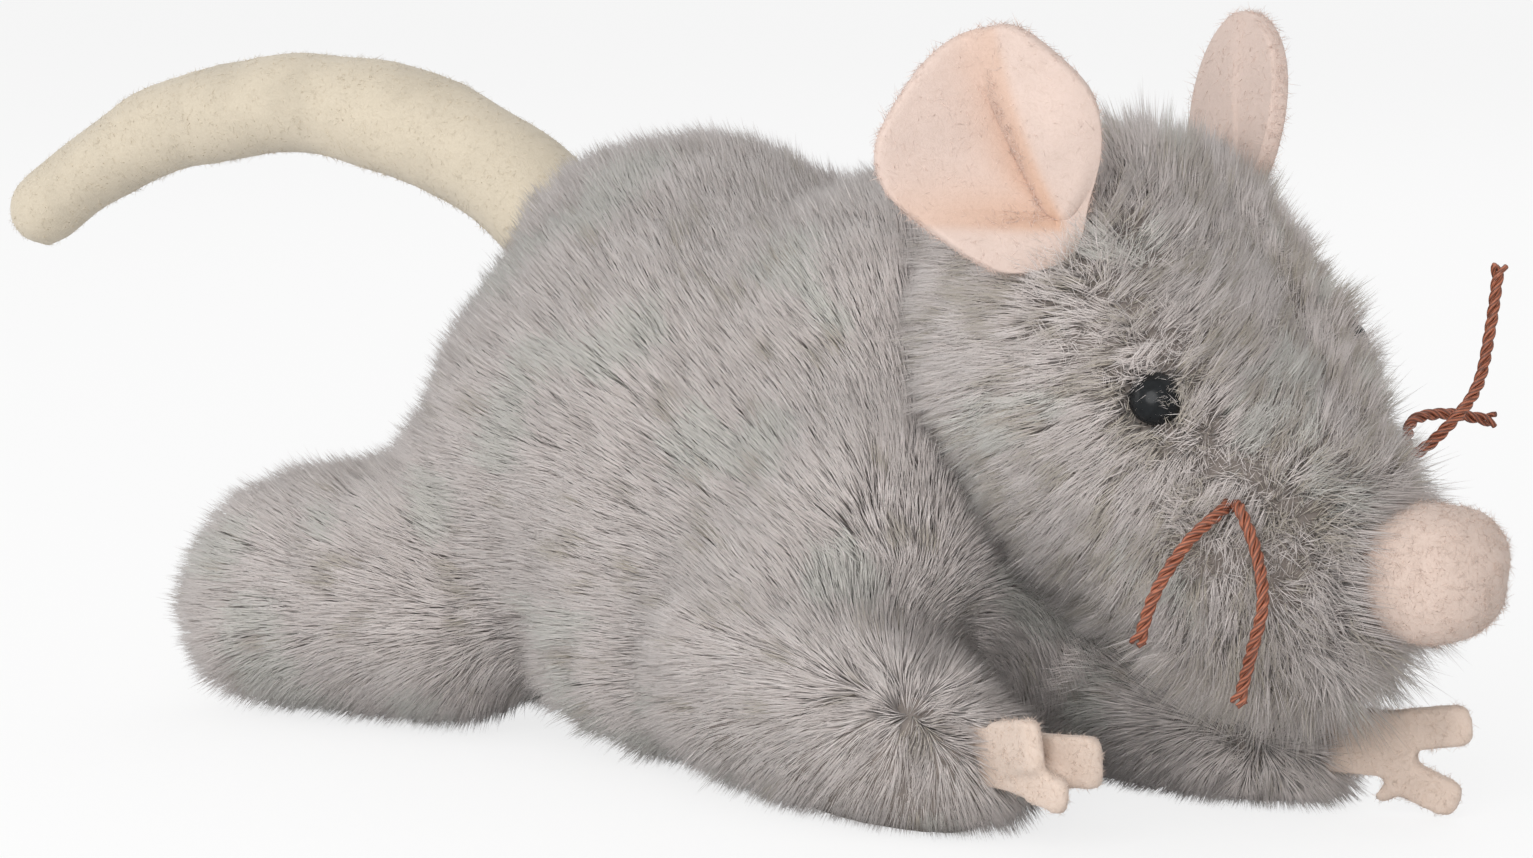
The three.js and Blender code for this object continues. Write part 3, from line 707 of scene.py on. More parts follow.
def smooth_line(points, step):
    """A centripetal curve through the points, in even steps, and its length."""
    points = np.array(points, float)
    points = np.vstack([2 * points[0] - points[1], points, 2 * points[-1] - points[-2]])
    line = []
    for p in zip(points, points[1:], points[2:], points[3:]):
        knots = np.cumsum([0, *(np.linalg.norm(b - a) ** 0.5 for a, b in zip(p, p[1:]))])
        t = np.linspace(knots[1], knots[2], 40, endpoint=False)[:, None]

        def between(a, b, i, j):
            span = knots[j] - knots[i]
            return (knots[j] - t) / span * a + (t - knots[i]) / span * b

        a = [between(p[i], p[i + 1], i, i + 1) for i in range(3)]
        b = [between(a[i], a[i + 1], i, i + 2) for i in range(2)]
        line.append(between(*b, 1, 2))
    line = np.vstack([*line, points[-2][None]])
    along = np.concatenate([[0], np.cumsum(np.linalg.norm(np.diff(line, axis=0), axis=1))])
    steps = np.linspace(0, along[-1], max(2, round(along[-1] / step)) + 1)
    return np.stack([np.interp(steps, along, line[:, i]) for i in range(3)], 1), along[-1]


def line_frames(line):
    """Two side vectors at each point of a line, carried along it without twist."""
    ahead = unit(np.gradient(line, axis=0))
    sides = [unit(np.cross(ahead[0], (0.3, 0.1, 0.9)))]
    for direction in ahead:
        sides.append(unit(sides[-1] - direction * np.dot(sides[-1], direction)))
    return np.array(sides[1:]), np.cross(ahead, sides[1:])


def twisted_cord(name, points, diameter, lay):
    """Three plies laid round each other, splayed a little at the cut ends."""
    line, length = smooth_line(points, lay / 14)
    side, up = line_frames(line)
    ply = diameter / 2 / (1 + 2 / math.sqrt(3))
    count = len(line)
    along = np.linspace(0, length, count)
    splay = 1 + SPLAY * (1 - climb(np.minimum(along, length - along), SPLAY_REACH)) ** 2
    wheel = np.linspace(0, 2 * np.pi, PLY_SIDES, endpoint=False)[None, :, None]
    vertices, faces, uvs = [], [], []
    for p in range(PLIES):
        turn = 2 * np.pi * (along / lay + p / PLIES)
        out = np.cos(turn)[:, None] * side + np.sin(turn)[:, None] * up
        centre = line + out * ((diameter / 2 - ply) * splay)[:, None]
        a, b = line_frames(centre)
        ring = ply * (np.cos(wheel) * a[:, None] + np.sin(wheel) * b[:, None])
        start = len(vertices)
        vertices.extend((centre[:, None] + ring).reshape(-1, 3))
        for i in range(count - 1):
            row, v, w = start + i * PLY_SIDES, along[i] / 2, along[i + 1] / 2
            for j in range(PLY_SIDES):
                k = (j + 1) % PLY_SIDES
                faces.append((row + j, row + k, row + PLY_SIDES + k, row + PLY_SIDES + j))
                u, u_next = j / PLY_SIDES, (j + 1) / PLY_SIDES
                uvs.extend(((u, v), (u_next, v), (u_next, w), (u, w)))
        last = start + (count - 1) * PLY_SIDES
        faces.append(tuple(start + j for j in reversed(range(PLY_SIDES))))
        faces.append(tuple(last + j for j in range(PLY_SIDES)))
        uvs.extend([(0.5, 0)] * PLY_SIDES + [(0.5, length / 2)] * PLY_SIDES)
    mesh = bpy.data.meshes.new(name)
    mesh.from_pydata([tuple(v) for v in np.array(vertices) * MM], [], faces)
    mesh.uv_layers.new(name="ply").data.foreach_set("uv", np.array(uvs, np.float32).ravel())
    cord = add_object(name, mesh)
    smooth(cord)
    return cord, line, length


class MakeWhiskers(Step, bpy.types.Operator):
    """Lays the two whisker cords through the muzzle"""

    bl_idname = "catnip_mouse.make_whiskers"
    bl_label = "Whiskers"

    def make(self, sizes):
        for name, points in WHISKERS.items():
            cord, line, length = twisted_cord(name, points, sizes.whisker / MM, sizes.whisker_lay / MM)
            dress(cord, waxed_cord(), "brown_cord", "head", name + "_cord")


# Stuffed plush skins

HAUNCH_SHARE = 0.6  # the body runs out under the root of each leg
SKIN_UNDER = 0.6  # the backing lies that far under the form that the pile is planted on
CREASE_ROUNDS = 300
LUMP, LUMP_RISE = 13, 1.1  # size and height of the lumps in the filling
LEGS = {
    # sink under the body's seam, heading, slope, length, root and tip half sizes (width, up, down)
    "right_foreleg": (4, 4, 13, 44.5, (11.5, 12.6, 12.6), (10, 11, 8.5)),
    "left_foreleg": (4, -8, 13, 42, (11.5, 12.6, 12.6), (10.5, 7, 9)),
    "right_hind_leg": (8, 170, 4, 41, (12, 16, 14), (10.5, 12, 10)),
    "left_hind_leg": (8, 170, 4, 41, (12, 16, 14), (10.5, 12, 10)),
}
LEG_NUMBERS = {name: i + 1 for i, name in enumerate(LEGS)}  # 0 stands for the body
LEG_FULLNESS = 2.6
LEG_BEND = (0.2, 0.65)  # shares of a leg: the pile past the first belongs to the leg
LEG_EDGE = 1.15  # how far past a leg's own skin its pile reaches
STARS = {RIGHT: (43.3, -28.0, 12.0), LEFT: (61.0, -2.5, 6.5)}  # where a stitch gathers each wrist
GATHER_FOLDS, GATHER_DEPTH, GATHER_RING = 7, 1.9, 3  # the folds round a gather
DIMPLE_DEPTH, DIMPLE_REACH = 0.3, 1.8
JOWL, JOWL_TOP, JOWL_REACH = 2.0, 27, 10  # how far the chin hangs under the head's egg, and from where
SEAM_DEPTH, SEAM_WIDTH = 0.8, 1.6  # the seam over the forehead


def leg_line(name):
    """Root, axis and length of a leg."""
    sink, heading, slope, length, _, _ = LEGS[name]
    side = SIDES[name.split("_")[0]]
    root = joint_place(name + "_swing") - (0, side * sink, 0)
    heading, slope = math.radians(heading), math.radians(slope)
    level = math.cos(slope)
    axis = (level * math.cos(heading), side * level * math.sin(heading), -math.sin(slope))
    return root, np.array(axis), length


def leg_frame(name):
    """The leg's axis, its side and its up vector, as rows."""
    _, axis, _ = leg_line(name)
    side = unit(np.cross((0, 0, 1), axis))
    return np.stack([axis, side, np.cross(axis, side)])


def leg_sizes(name, share, upward):
    """Half width and half height of a leg at that share of its length."""
    root_size, tip_size = (np.array(size) for size in LEGS[name][4:])
    sizes = root_size + (tip_size - root_size) * share[:, None]
    return sizes[:, 0], np.where(upward, sizes[:, 1], sizes[:, 2])


def leg_skin(name, grow, upto=1.0):
    root, _, length = leg_line(name)
    skin, points = ball(name + "_plush", 64, 32)
    t = np.clip(points[:, 0], -1, 1)
    share = np.minimum((t + 1) / 2, upto)
    angle = np.arctan2(points[:, 2], points[:, 1])
    full = swelling(t, LEG_FULLNESS)
    half_width, half_height = leg_sizes(name, share, points[:, 2] > 0)
    reach = share * (length + 2 * grow) - grow
    across, upward = (half_width + grow) * full * np.cos(angle), (half_height + grow) * full * np.sin(angle)
    set_points(skin, root + np.stack([reach, across, upward], 1) @ leg_frame(name))
    return skin


def leg_depth(name, points):
    """How far out points lie in a leg, 1 at its skin, and their share of its length."""
    root, _, length = leg_line(name)
    along, across, up = ((points - root) @ leg_frame(name).T).T
    share = climb(along, length)
    half_width, half_height = leg_sizes(name, share, up > 0)
    round_it = np.hypot(across / half_width, up / half_height)
    t = np.abs(2 * along / length - 1)
    return (t**LEG_FULLNESS + round_it**LEG_FULLNESS) ** (1 / LEG_FULLNESS), share


def leg_of(points):
    """The number of the leg that each point belongs to, and 0 for the body."""
    owner = np.zeros(len(points), int)
    nearest = np.full(len(points), LEG_EDGE)
    for name, number in LEG_NUMBERS.items():
        depth, share = leg_depth(name, points)
        mine = (depth < nearest) & (share > LEG_BEND[0])
        owner[mine] = number
        nearest[mine] = depth[mine]
    return owner


def gather(form):
    """Draws the plush in where a stitch gathers it at each wrist."""
    points, normals = points_of(form), normals_of(form)
    for star in STARS.values():
        offset = points - np.array(star)
        far = np.linalg.norm(offset, axis=1)
        normal = normals[np.argmin(far)]
        across = unit(np.cross(normal, (0, 0, 1)))
        angle = np.arctan2(offset @ np.cross(normal, across), offset @ across)
        fold = (0.5 + 0.5 * np.cos(GATHER_FOLDS * angle + np.sin(2 * angle))) ** 3
        depth = GATHER_DEPTH * fold * bell(far - GATHER_RING, 3) + DIMPLE_DEPTH * bell(far, DIMPLE_REACH)
        points -= normals * depth[:, None]
    set_points(form, points)


def settle(skin):
    """Gathers a stuffed skin at the wrists and lays it on the floor."""
    gather(skin)
    rest_on_floor(skin)


def whole_form(name, grow, upto):
    """Body, neck and legs as one stuffed form, the legs as far as that share of their length."""
    parts = [egg_skin("trunk", BODY, grow), lobe(*NECK, grow)]
    parts += [leg_skin(leg, grow, upto) for leg in LEGS]
    parts += [lobe(*place, grow) for place in LOBES]
    form = join(name, *parts)
    stuff(form, 2.0, 1.0, CREASE_ROUNDS)
    add_lumps(form, LUMP, LUMP_RISE)
    settle(form)
    return form


class MakeBody(Step, bpy.types.Operator):
    """Stuffs the body with its neck"""

    bl_idname = "catnip_mouse.make_body"
    bl_label = "Body"

    def make(self, sizes):
        body = whole_form("body_plush", -(sizes.nap_depth / MM + SKIN_UNDER), HAUNCH_SHARE)
        dress(body, plush_backing(), "grey_plush", "body", "body_skin", "body_filling", fill=0.8)


class MakeHead(Step, bpy.types.Operator):
    """Stuffs the head and draws in its forehead seam"""

    bl_idname = "catnip_mouse.make_head"
    bl_label = "Head"

    def make(self, sizes):
        head = egg_skin("head_plush", HEAD, -sizes.nap_depth / MM)
        stuff(head, 1.8, 0.8)
        points = points_of(head)
        points[:, 2] -= JOWL * climb(JOWL_TOP - points[:, 2], JOWL_REACH)
        ahead = climb(points[:, 0] - 44, 12) * climb(points[:, 2] - 26, 8)
        groove = SEAM_DEPTH * ahead * bell(points[:, 1], SEAM_WIDTH)
        set_points(head, points - groove[:, None] * normals_of(head))
        dress(head, plush_backing(), "grey_plush", "head", "head_skin", "head_filling", fill=0.85)


class MakeLegs(Step, bpy.types.Operator):
    """Stuffs the four legs"""

    bl_idname = "catnip_mouse.make_legs"
    bl_label = "Legs"

    def make(self, sizes):
        for name in LEGS:
            leg = leg_skin(name, -(sizes.nap_depth / MM + SKIN_UNDER))
            stuff(leg, 1.8, 0.8)
            settle(leg)
            dress(leg, plush_backing(), "grey_plush", name, name + "_skin", name + "_filling", fill=0.7)


# Felt pieces

TAIL_LENGTH, TAIL_STEPS, TAIL_BENDS = 81, 48, 12
TAIL_RISE, TAIL_FALL = 39, -38  # slope at the root and at the tip, in degrees
TAIL_ROOT_RADIUS, TAIL_TIP_RADIUS = 5.5, 3.5
TAIL_SUNK = 9  # the root reaches that far into the body
TAIL_LUMP, TAIL_LUMP_RISE = 9, 0.45


def tail_line():
    """Centre points and radii of the tail from its root."""
    points = [joint_place("tail_lift")]
    for i in range(TAIL_BENDS):
        slope = math.radians(TAIL_RISE + (TAIL_FALL - TAIL_RISE) * ((i + 0.5) / TAIL_BENDS) ** 0.8)
        step = np.array((-math.cos(slope), 0, math.sin(slope)))
        points.append(points[-1] + TAIL_LENGTH / TAIL_BENDS * step)
    line, _ = smooth_line(points, TAIL_LENGTH / TAIL_STEPS)
    share = np.linspace(0, 1, len(line))
    return line, TAIL_ROOT_RADIUS + (TAIL_TIP_RADIUS - TAIL_ROOT_RADIUS) * share**2.2


class MakeTail(Step, bpy.types.Operator):
    """Sews the stuffed felt tail"""

    bl_idname = "catnip_mouse.make_tail"
    bl_label = "Tail"

    def make(self, sizes):
        line, radius = tail_line()
        sunk = unit(line[1] - line[0]) * TAIL_SUNK
        line = np.vstack([line[0] - sunk, line[0] - sunk * 0.7, line])
        radius = np.concatenate([[2.0, TAIL_ROOT_RADIUS * 0.9], radius])
        from_tip = np.linalg.norm(line - line[-1], axis=1)
        radius *= np.sqrt(np.clip(1 - (1 - climb(from_tip, TAIL_TIP_RADIUS)) ** 2, 0.08, 1))
        curve = bpy.data.curves.new("tail_felt", "CURVE")
        curve.dimensions = "3D"
        curve.bevel_depth = MM
        curve.bevel_resolution = 8
        curve.use_fill_caps = True
        spline = curve.splines.new("POLY")
        spline.points.add(len(line) - 1)
        for point, place, size in zip(spline.points, line, radius):
            point.co = (*(place * MM), 1)
            point.radius = size
        activate(add_object("tail_felt", curve))
        bpy.ops.object.convert(target="MESH")
        tail = named("tail_felt")
        stuff(tail, 1.0, 0.35)
        add_lumps(tail, TAIL_LUMP, TAIL_LUMP_RISE)
        dress(tail, wool_felt("cream_felt"), "cream_felt", "tail", "tail_skin", "tail_filling", fill=0.8)


class MakeNose(Step, bpy.types.Operator):
    """Gathers the felt nose"""

    bl_idname = "catnip_mouse.make_nose"
    bl_label = "Nose"

    def make(self, sizes):
        nose, points = ball("nose_felt")
        lumps = np.array([noise.noise(Vector(p) * 1.9) for p in points])
        square = (np.abs(points) ** NOSE_FULLNESS).sum(1) ** (-1 / NOSE_FULLNESS)
        radius = sizes.nose_radius / MM * ((1 - NOSE_LUMPS) * square + NOSE_LUMPS * lumps)
        set_points(nose, points * radius[:, None] + np.array(NOSE))
        stuff(nose, 0.9, 0.25)
        dress(nose, wool_felt("nose_felt"), "pink_felt", "head", "nose_cover", "nose_filling", fill=0.9)


EYE_AHEAD, EYE_ANGLE = 11, math.radians(28.5)
FACE_TILT = math.radians(3.5)
EYE_RISE, EYE_GAP = 1.8, -0.7  # height of the dome, and how far its foot lies off the head's egg
EYE_STEM, EYE_STEM_LENGTH = 1.0, 5.0


def eye_place(side):
    """Foot of an eye on the head, and the way it looks."""
    angle = (EYE_ANGLE if side == LEFT else math.pi - EYE_ANGLE) + FACE_TILT
    return egg_point(HEAD, EYE_AHEAD, angle), egg_normal(HEAD, EYE_AHEAD, angle)


class MakeEyes(Step, bpy.types.Operator):
    """Turns the two eye studs with their stems"""

    bl_idname = "catnip_mouse.make_eyes"
    bl_label = "Eyes"

    def make(self, sizes):
        radius = sizes.eye_radius
        for name, side in SIDES.items():
            foot, normal = eye_place(side)
            bpy.ops.mesh.primitive_uv_sphere_add(segments=48, ring_count=32, radius=radius)
            eye = named(name + "_eye_stud")
            with editing(eye, "SELECT"):
                bpy.ops.transform.resize(value=(1, 1, EYE_RISE * MM / radius))
                bpy.ops.mesh.bisect(plane_co=(0, 0, 0), plane_no=(0, 0, 1), use_fill=True, clear_inner=True)
                bpy.ops.mesh.inset(thickness=radius - EYE_STEM * MM)
                stem = {"value": (0, 0, -EYE_STEM_LENGTH * MM)}
                bpy.ops.mesh.extrude_region_move(TRANSFORM_OT_translate=stem)
            turn = Vector(normal).to_track_quat("Z", "Y").to_matrix().to_4x4()
            eye.data.transform(Matrix.Translation(Vector((foot + normal * EYE_GAP) * MM)) @ turn)
            bpy.ops.object.shade_smooth_by_angle(angle=math.radians(40))
            dress(eye, eye_plastic(), "black_plastic", "head", name + "_eye")
            paint(frame["nodes"][name + "_eye_washer"], washer_plastic())


# Ears: across and rise in the ear's own plane and depth towards its face, from the root
EAR_OUTLINE = (
    (1.4, -0.4, 0.1), (3.2, 1.0, 0.5), (5.4, 2.7, 1.0), (7.5, 4.6, 1.5), (8.9, 6.8, 1.8), (9.0, 9.3, 1.8),
    (8.7, 11.7, 1.6), (8.4, 13.7, 1.2), (7.9, 15.6, 0.8), (7.0, 16.5, 0.3), (6.0, 16.9, -0.1),
    (4.6, 17.6, -1.8), (2.8, 18.2, -1.6), (0.8, 18.4, -1.3), (-1.3, 18.2, -0.9), (-3.4, 17.7, -0.6),
    (-5.6, 17.1, -0.3), (-7.4, 16.4, 0.0), (-8.6, 15.4, 0.2), (-9.4, 14.1, 0.3), (-9.9, 12.6, 0.3),
    (-9.9, 10.9, 0.3), (-9.6, 9.3, 0.4), (-9.3, 7.7, 0.8), (-8.9, 6.1, 1.3), (-8.5, 4.5, 1.8),
    (-8.0, 2.8, 2.2), (-7.3, 1.2, 2.3), (-6.2, 0.1, 2.0), (-4.6, -1.0, 1.4), (-2.6, -1.9, 0.5),
    (-0.3, -1.4, 0.0),
)
EAR_SEWN = (29, 30, 31, 0, 1, 2)  # outline points at the ear's seam
EAR_PINCH = (-1.0, 0.7, -0.4)
EAR_CREASES = ((10, 1), (22, -1))  # outline points the folds run to from the pinch, and their hollow side
EAR_FOLD_SHADE_REACH, EAR_FOLD_SHADE_EDGE = 3.2, 0.6  # reach of a fold's painted brown shade into the hollow and onto the flap
EAR_SHADE, EAR_SHADE_LOSS = 0.62, 0.34  # that shade at the pinch, and what it loses on its way to the rim
EAR_HOLLOW, EAR_BULGE = 1.8, 0.8
EAR_BOW = 0.7  # how far the fold bows into the hollow
EAR_OVAL = (-0.6, 7.9), (8.6, 9.4)  # middle and half sizes of the left ear, which stands open
EAR_FOLDED = {RIGHT: 1.0, LEFT: 0.1}
EAR_RINGS = 9
EAR_LEAN, EAR_SPLAY = math.radians(34), math.radians(33)
EAR_TURN = {RIGHT: math.radians(56), LEFT: math.radians(68)}


def ear_axes(side):
    """Root of an ear, and its ways across, up and towards its face, as rows."""
    root = joint_place(("right" if side == RIGHT else "left") + "_ear_fold")
    rise = unit(np.array((-math.tan(EAR_LEAN), side * math.tan(EAR_SPLAY), 1)))
    face = np.array((math.cos(EAR_TURN[side]), side * math.sin(EAR_TURN[side]), 0))
    face = unit(face - rise * face.dot(rise))
    return root, np.stack([-side * np.cross(rise, face), rise, face])


class MakeEars(Step, bpy.types.Operator):
    """Cuts and folds the two felt ears"""

    bl_idname = "catnip_mouse.make_ears"
    bl_label = "Ears"

    def make(self, sizes):
        for name, side in SIDES.items():
            outline = np.array(EAR_OUTLINE)
            if side == LEFT:
                middle, size = EAR_OVAL
                outline[:, :2] = middle + unit((outline[:, :2] - middle) / size) * size
            ear = self.folded(name + "_ear_felt", side, outline)
            apply_modifier(ear, "SUBSURF", levels=1, render_levels=1)
            apply_modifier(ear, "SOLIDIFY", thickness=sizes.felt, offset=0)
            apply_modifier(ear, "SUBSURF", levels=1, render_levels=1)
            smooth(ear)
            # painted shade: the brown shade of the folds, kept in the ear's fold attribute
            fold = self.painted_fold_shade(ear, side, outline).astype(np.float32)
            ear.data.attributes.new("fold", "FLOAT", "POINT").data.foreach_set("value", fold)
            dress(ear, wool_felt("pink_felt"), "pink_felt", name + "_ear", name + "_ear")

    def folded(self, name, side, outline):
        """A sheet within the outline, hollow between its two folds and full on either side."""
        pinch = np.array(EAR_PINCH)
        bpy.ops.mesh.primitive_circle_add(vertices=len(outline), radius=1, fill_type="NGON")
        ear = named(name)
        with editing(ear, "SELECT"):
            for _ in range(EAR_RINGS):
                bpy.ops.mesh.inset(thickness=1 / (EAR_RINGS + 1), use_boundary=True)
            bpy.ops.mesh.poke()
        flat = read(ear.data.vertices, "co", 3).astype(float)
        reach = np.linalg.norm(flat, axis=1) / np.linalg.norm(flat, axis=1).max()
        turn = np.arctan2(flat[:, 1], flat[:, 0]) / (2 * np.pi) * len(outline)
        index = np.round(turn).astype(int) % len(outline)
        local = pinch + reach[:, None] * (outline[index] - pinch)
        local[:, 2] = pinch[2] + reach**1.3 * (outline[index, 2] - pinch[2])
        (flap, _), (lip, _) = EAR_CREASES
        hollow = np.where((index > flap) & (index < lip), 1 - 0.8 * (index - flap) / (lip - flap), 0)
        bulge = ((index > 1) & (index < flap)) | (index > lip + 1)
        local[:, 2] += np.sin(np.pi * reach**0.7) * (EAR_BULGE * bulge - EAR_HOLLOW * hollow)
        local[:, 2] *= EAR_FOLDED[side]
        local[:, 0] -= EAR_BOW * np.sin(np.pi * reach) * (np.abs(index - flap) < 2)
        root, axes = ear_axes(side)
        set_points(ear, root + local @ axes)
        with editing(ear, "SELECT"):
            bpy.ops.mesh.normals_make_consistent(inside=False)
        return ear

    def painted_fold_shade(self, ear, side, outline):
        """How much painted brown shade each point of an ear gets: most in the folds, near the pinch, on its
        face.
        """
        root, axes = ear_axes(side)
        place = (points_of(ear) - root) @ axes.T
        fold = np.zeros(len(place))
        for crease, hollow_side in EAR_CREASES:
            along = outline[crease, :2] - EAR_PINCH[:2]
            offset = place[:, :2] - EAR_PINCH[:2]
            bow = np.sin(np.pi * climb(offset @ along, along.dot(along)))
            offset[:, 0] += EAR_BOW * bow * (crease == EAR_CREASES[0][0])
            share = climb(offset @ along, along.dot(along))
            gap = np.linalg.norm(offset - share[:, None] * along, axis=1)
            inside = hollow_side * (along[0] * offset[:, 1] - along[1] * offset[:, 0]) > 0
            reach = EAR_FOLD_SHADE_EDGE + inside * (EAR_FOLD_SHADE_REACH - EAR_FOLD_SHADE_EDGE) * np.clip(4 * share, 0, 1)
            fold = np.maximum(fold, bell(gap, reach) * (EAR_SHADE - EAR_SHADE_LOSS * share))
        return fold * (normals_of(ear) @ axes[2] > 0) * EAR_FOLDED[side]


HANDS = {
    # turn and shift outwards from the leg, palm length and height;
    # fingers: turn in the hand's plane, swing out of it, length past the palm, width
    "right": (6, 1.2, (6.5, 4.8), ((12, 14, 5.4, 4.4), (3, -14, 8.2, 4.4), (-8, 6, 7.4, 3.0))),
    "left": (22, 0, (8.5, 5.6), ((10, -4, 5.4, 3.6), (-21, 4, 4.8, 3.2), (-30, 0, -0.4, 3.6))),
}
FINGER_ROUNDING = 1.2


def felt_strip(name, length, height, felt):
    """A strip of felt on edge, along x from the origin."""
    bpy.ops.mesh.primitive_cube_add(size=1)
    strip = named(name)
    strip.data.transform(
        Matrix.Translation(Vector((length / 2, 0, 0)) * MM)
        @ Matrix.Diagonal(Vector((length * MM, felt, height * MM, 1)))
    )
    return strip


class MakeHands(Step, bpy.types.Operator):
    """Cuts the two felt hands"""

    bl_idname = "catnip_mouse.make_hands"
    bl_label = "Hands"

    def make(self, sizes):
        for name, (turn, out, (palm_length, palm_height), fingers) in HANDS.items():
            side = SIDES[name]
            root = joint_place(name + "_hand_flap") + (0, side * out, 0)
            _, axis, _ = leg_line(name + "_foreleg")
            heading = math.atan2(axis[1], axis[0]) + side * math.radians(turn)
            strips = [felt_strip("palm", palm_length, palm_height, sizes.felt)]
            for pitch, swing, length, width in fingers:
                strip = felt_strip("finger", length + width / 2, width, sizes.felt)
                self.round_end(strip, (length + width / 2) * MM)
                strip.data.transform(
                    Matrix.Rotation(-math.radians(pitch), 4, "Y")
                    @ Matrix.Translation(Vector((palm_length - width / 2, 0, 0)) * MM)
                    @ Matrix.Rotation(side * math.radians(swing), 4, "Z")
                )
                strips.append(strip)
            hand = join(name + "_hand_felt", *strips)
            apply_modifier(hand, "REMESH", mode="VOXEL", voxel_size=0.4 * MM)
            apply_modifier(hand, "SMOOTH", factor=0.5, iterations=3)
            hand.data.transform(Matrix.Translation(Vector(root) * MM) @ Matrix.Rotation(heading, 4, "Z"))
            rest_on_floor(hand)
            smooth(hand)
            dress(hand, wool_felt("hand_felt"), "pink_felt", name + "_hand", name + "_hand")

    def round_end(self, strip, reach):
        """Rounds the two corners at the end of a finger."""
        with editing(strip, "DESELECT"):
            pass
        for edge in strip.data.edges:
            a, b = (strip.data.vertices[v].co for v in edge.vertices)
            edge.select = min(a.x, b.x) > reach * 0.9 and abs(a.z - b.z) < 1e-6
        with editing(strip):
            bpy.ops.mesh.bevel(offset=FINGER_ROUNDING * MM, segments=4)


POUCH, POUCH_HEIGHT = (13, 9, 6), 16  # half sizes of the sachet, and its place over the floor


class MakeSachet(Step, bpy.types.Operator):
    """Fills the muslin sachet with catnip, inside the belly"""

    bl_idname = "catnip_mouse.make_sachet"
    bl_label = "Sachet"

    def make(self, sizes):
        for name, node, grow, rough, material, slot in (
            ("catnip_sachet", "catnip_pouch", 0.0, 0.25, muslin, "muslin"),
            ("catnip_leaf", "catnip_herb", -1.2, 0.8, dried_catnip, "dried_leaf"),
        ):
            piece, points = ball(name)
            lumps = rough * noise_at(points, 0.25)
            pinched = 1 - 0.25 * np.abs(points[:, :1]) ** 6
            shaped = points * (np.array(POUCH) + grow - rough) * pinched + points * lumps[:, None]
            set_points(piece, shaped + (0, 0, POUCH_HEIGHT))
            smooth(piece)
            dress(piece, material(), slot, "body", node, fill=0.7)


# Pile

FIBRES_IN_A_PIECE = 48000
SUNK = 0.4  # how far a fibre is rooted in its backing
SHORTEST, LOWEST = 0.4, 0.5  # fibres shorter than this, or rooted lower, are left out
LENGTHS, WIDTHS, LIFT_SPREAD = (0.72, 1.12), (0.75, 1.2), 0.13  # how fibres differ from each other
EDDY = 3.5  # size of the swirls that clumps follow
# Nap of the right half of the head, brushed up over the bridge and down over the cheek: place and direction
BRIDGE_NAP = (
    ((55.9, -10.7, 49.4), (0.44, 0.9, 0.1)), ((61.2, -9.5, 42.9), (0.35, 0.92, 0.25)),
    ((65.1, -9.2, 37.4), (0.3, 0.83, 0.48)), ((69.2, -7.7, 31.7), (0.18, 0.79, 0.59)),
    ((56, 0, 51), (-0.8, 0, 0.5)), ((63, 0, 43), (-0.6, 0, 0.7)), ((69, 0, 35), (-0.5, 0, 0.8)),
    ((73, 0, 29), (-0.3, 0, 0.9)),
)
CHEEK_NAP = (
    ((60.3, -16.6, 31), (-0.29, -0.31, -0.91)), ((58, -15, 40), (-0.75, -0.35, -0.55)),
    ((51.8, -19, 38.9), (-0.88, -0.3, -0.37)), ((44.7, -19.4, 36.6), (-0.93, 0.14, -0.33)),
    ((50, -15, 49), (-0.8, -0.3, 0.1)), ((38.2, -13.6, 26.8), (-0.75, 0.1, -0.6)),
    ((67.4, -12.2, 24.5), (-0.35, -0.1, -0.93)), ((74.5, -5.5, 25.5), (0.85, -0.3, 0.2)),
    ((74.5, -5.5, 19), (0.8, -0.3, -0.4)), ((75, 0, 29), (0.8, 0, 0.3)), ((66, -3, 13), (0.1, -0.6, -0.8)),
    ((60, -9, 14.5), (-0.3, -0.7, -0.7)), ((50, -9, 16.5), (-0.5, -0.5, -0.7)),
    ((49, -3, 58), (-0.7, -0.6, 0.3)), ((36, -4, 56), (-0.9, -0.3, 0.0)), ((33, -8, 44), (-0.7, -0.4, -0.5)),
)
NAP_REACH = 6.0
TUFT = 1.4  # size of the tufts that lie across each other where the two naps meet
INNER_BODY, INNER_LEG, INNER_DEPTH = 52000, 16000, 1.2  # pile between legs and body, seen when a leg swings
INNER_CHEST, CHIN_DEPTH, CHIN_TOP = 100000, 9, 42  # pile on the chest, seen when the head nods up
UNDERCOAT, RUFFLE = 30000, 1.5  # short fibres among the pile of the head, and the size of their tufts
WISPS = 60000  # places on the head that loose wisps are drawn from
WISP_WIDTH, WISP_SPREAD = 0.13, 0.9


def body_nap(points):
    """The nap runs away from the gathers at the wrists, back along the body, and hangs near the floor."""
    x, y, z = (points[:, i : i + 1] for i in range(3))
    owner = leg_of(points)[:, None]
    foreleg = np.isin(owner, [LEG_NUMBERS[side + "_foreleg"] for side in SIDES])
    left = climb(y + 7, 14)
    left = np.where(owner == LEG_NUMBERS["left_foreleg"], 1, left * left * (3 - 2 * left))
    nap = unit(points - np.array(STARS[RIGHT])) * (1 - left) + unit(points - np.array(STARS[LEFT])) * left
    chest = climb(x - 27, 5) * climb(13 - np.abs(y), 5) * ~foreleg
    nap = nap + ~foreleg * (-0.6, 0, 0) + climb(z - 14, 16) * (0, 0, 0.5)
    return nap + (1 - climb(z, 9)) * (0, 0, -1.1) + chest * (0, 0, -1.4)


def brushed(points, controls):
    """Direction and weight of a nap given at places on the right half of the head."""
    total = np.zeros_like(points)
    weight = np.zeros(len(points))
    for place, direction in controls:
        for mirror in (1, -1):
            flip = np.array((1, mirror, 1))
            near = np.exp(-((points - np.array(place) * flip) ** 2).sum(1) / (2 * NAP_REACH**2))
            total += near[:, None] * (np.array(direction) * flip)
            weight += near
    return total, weight


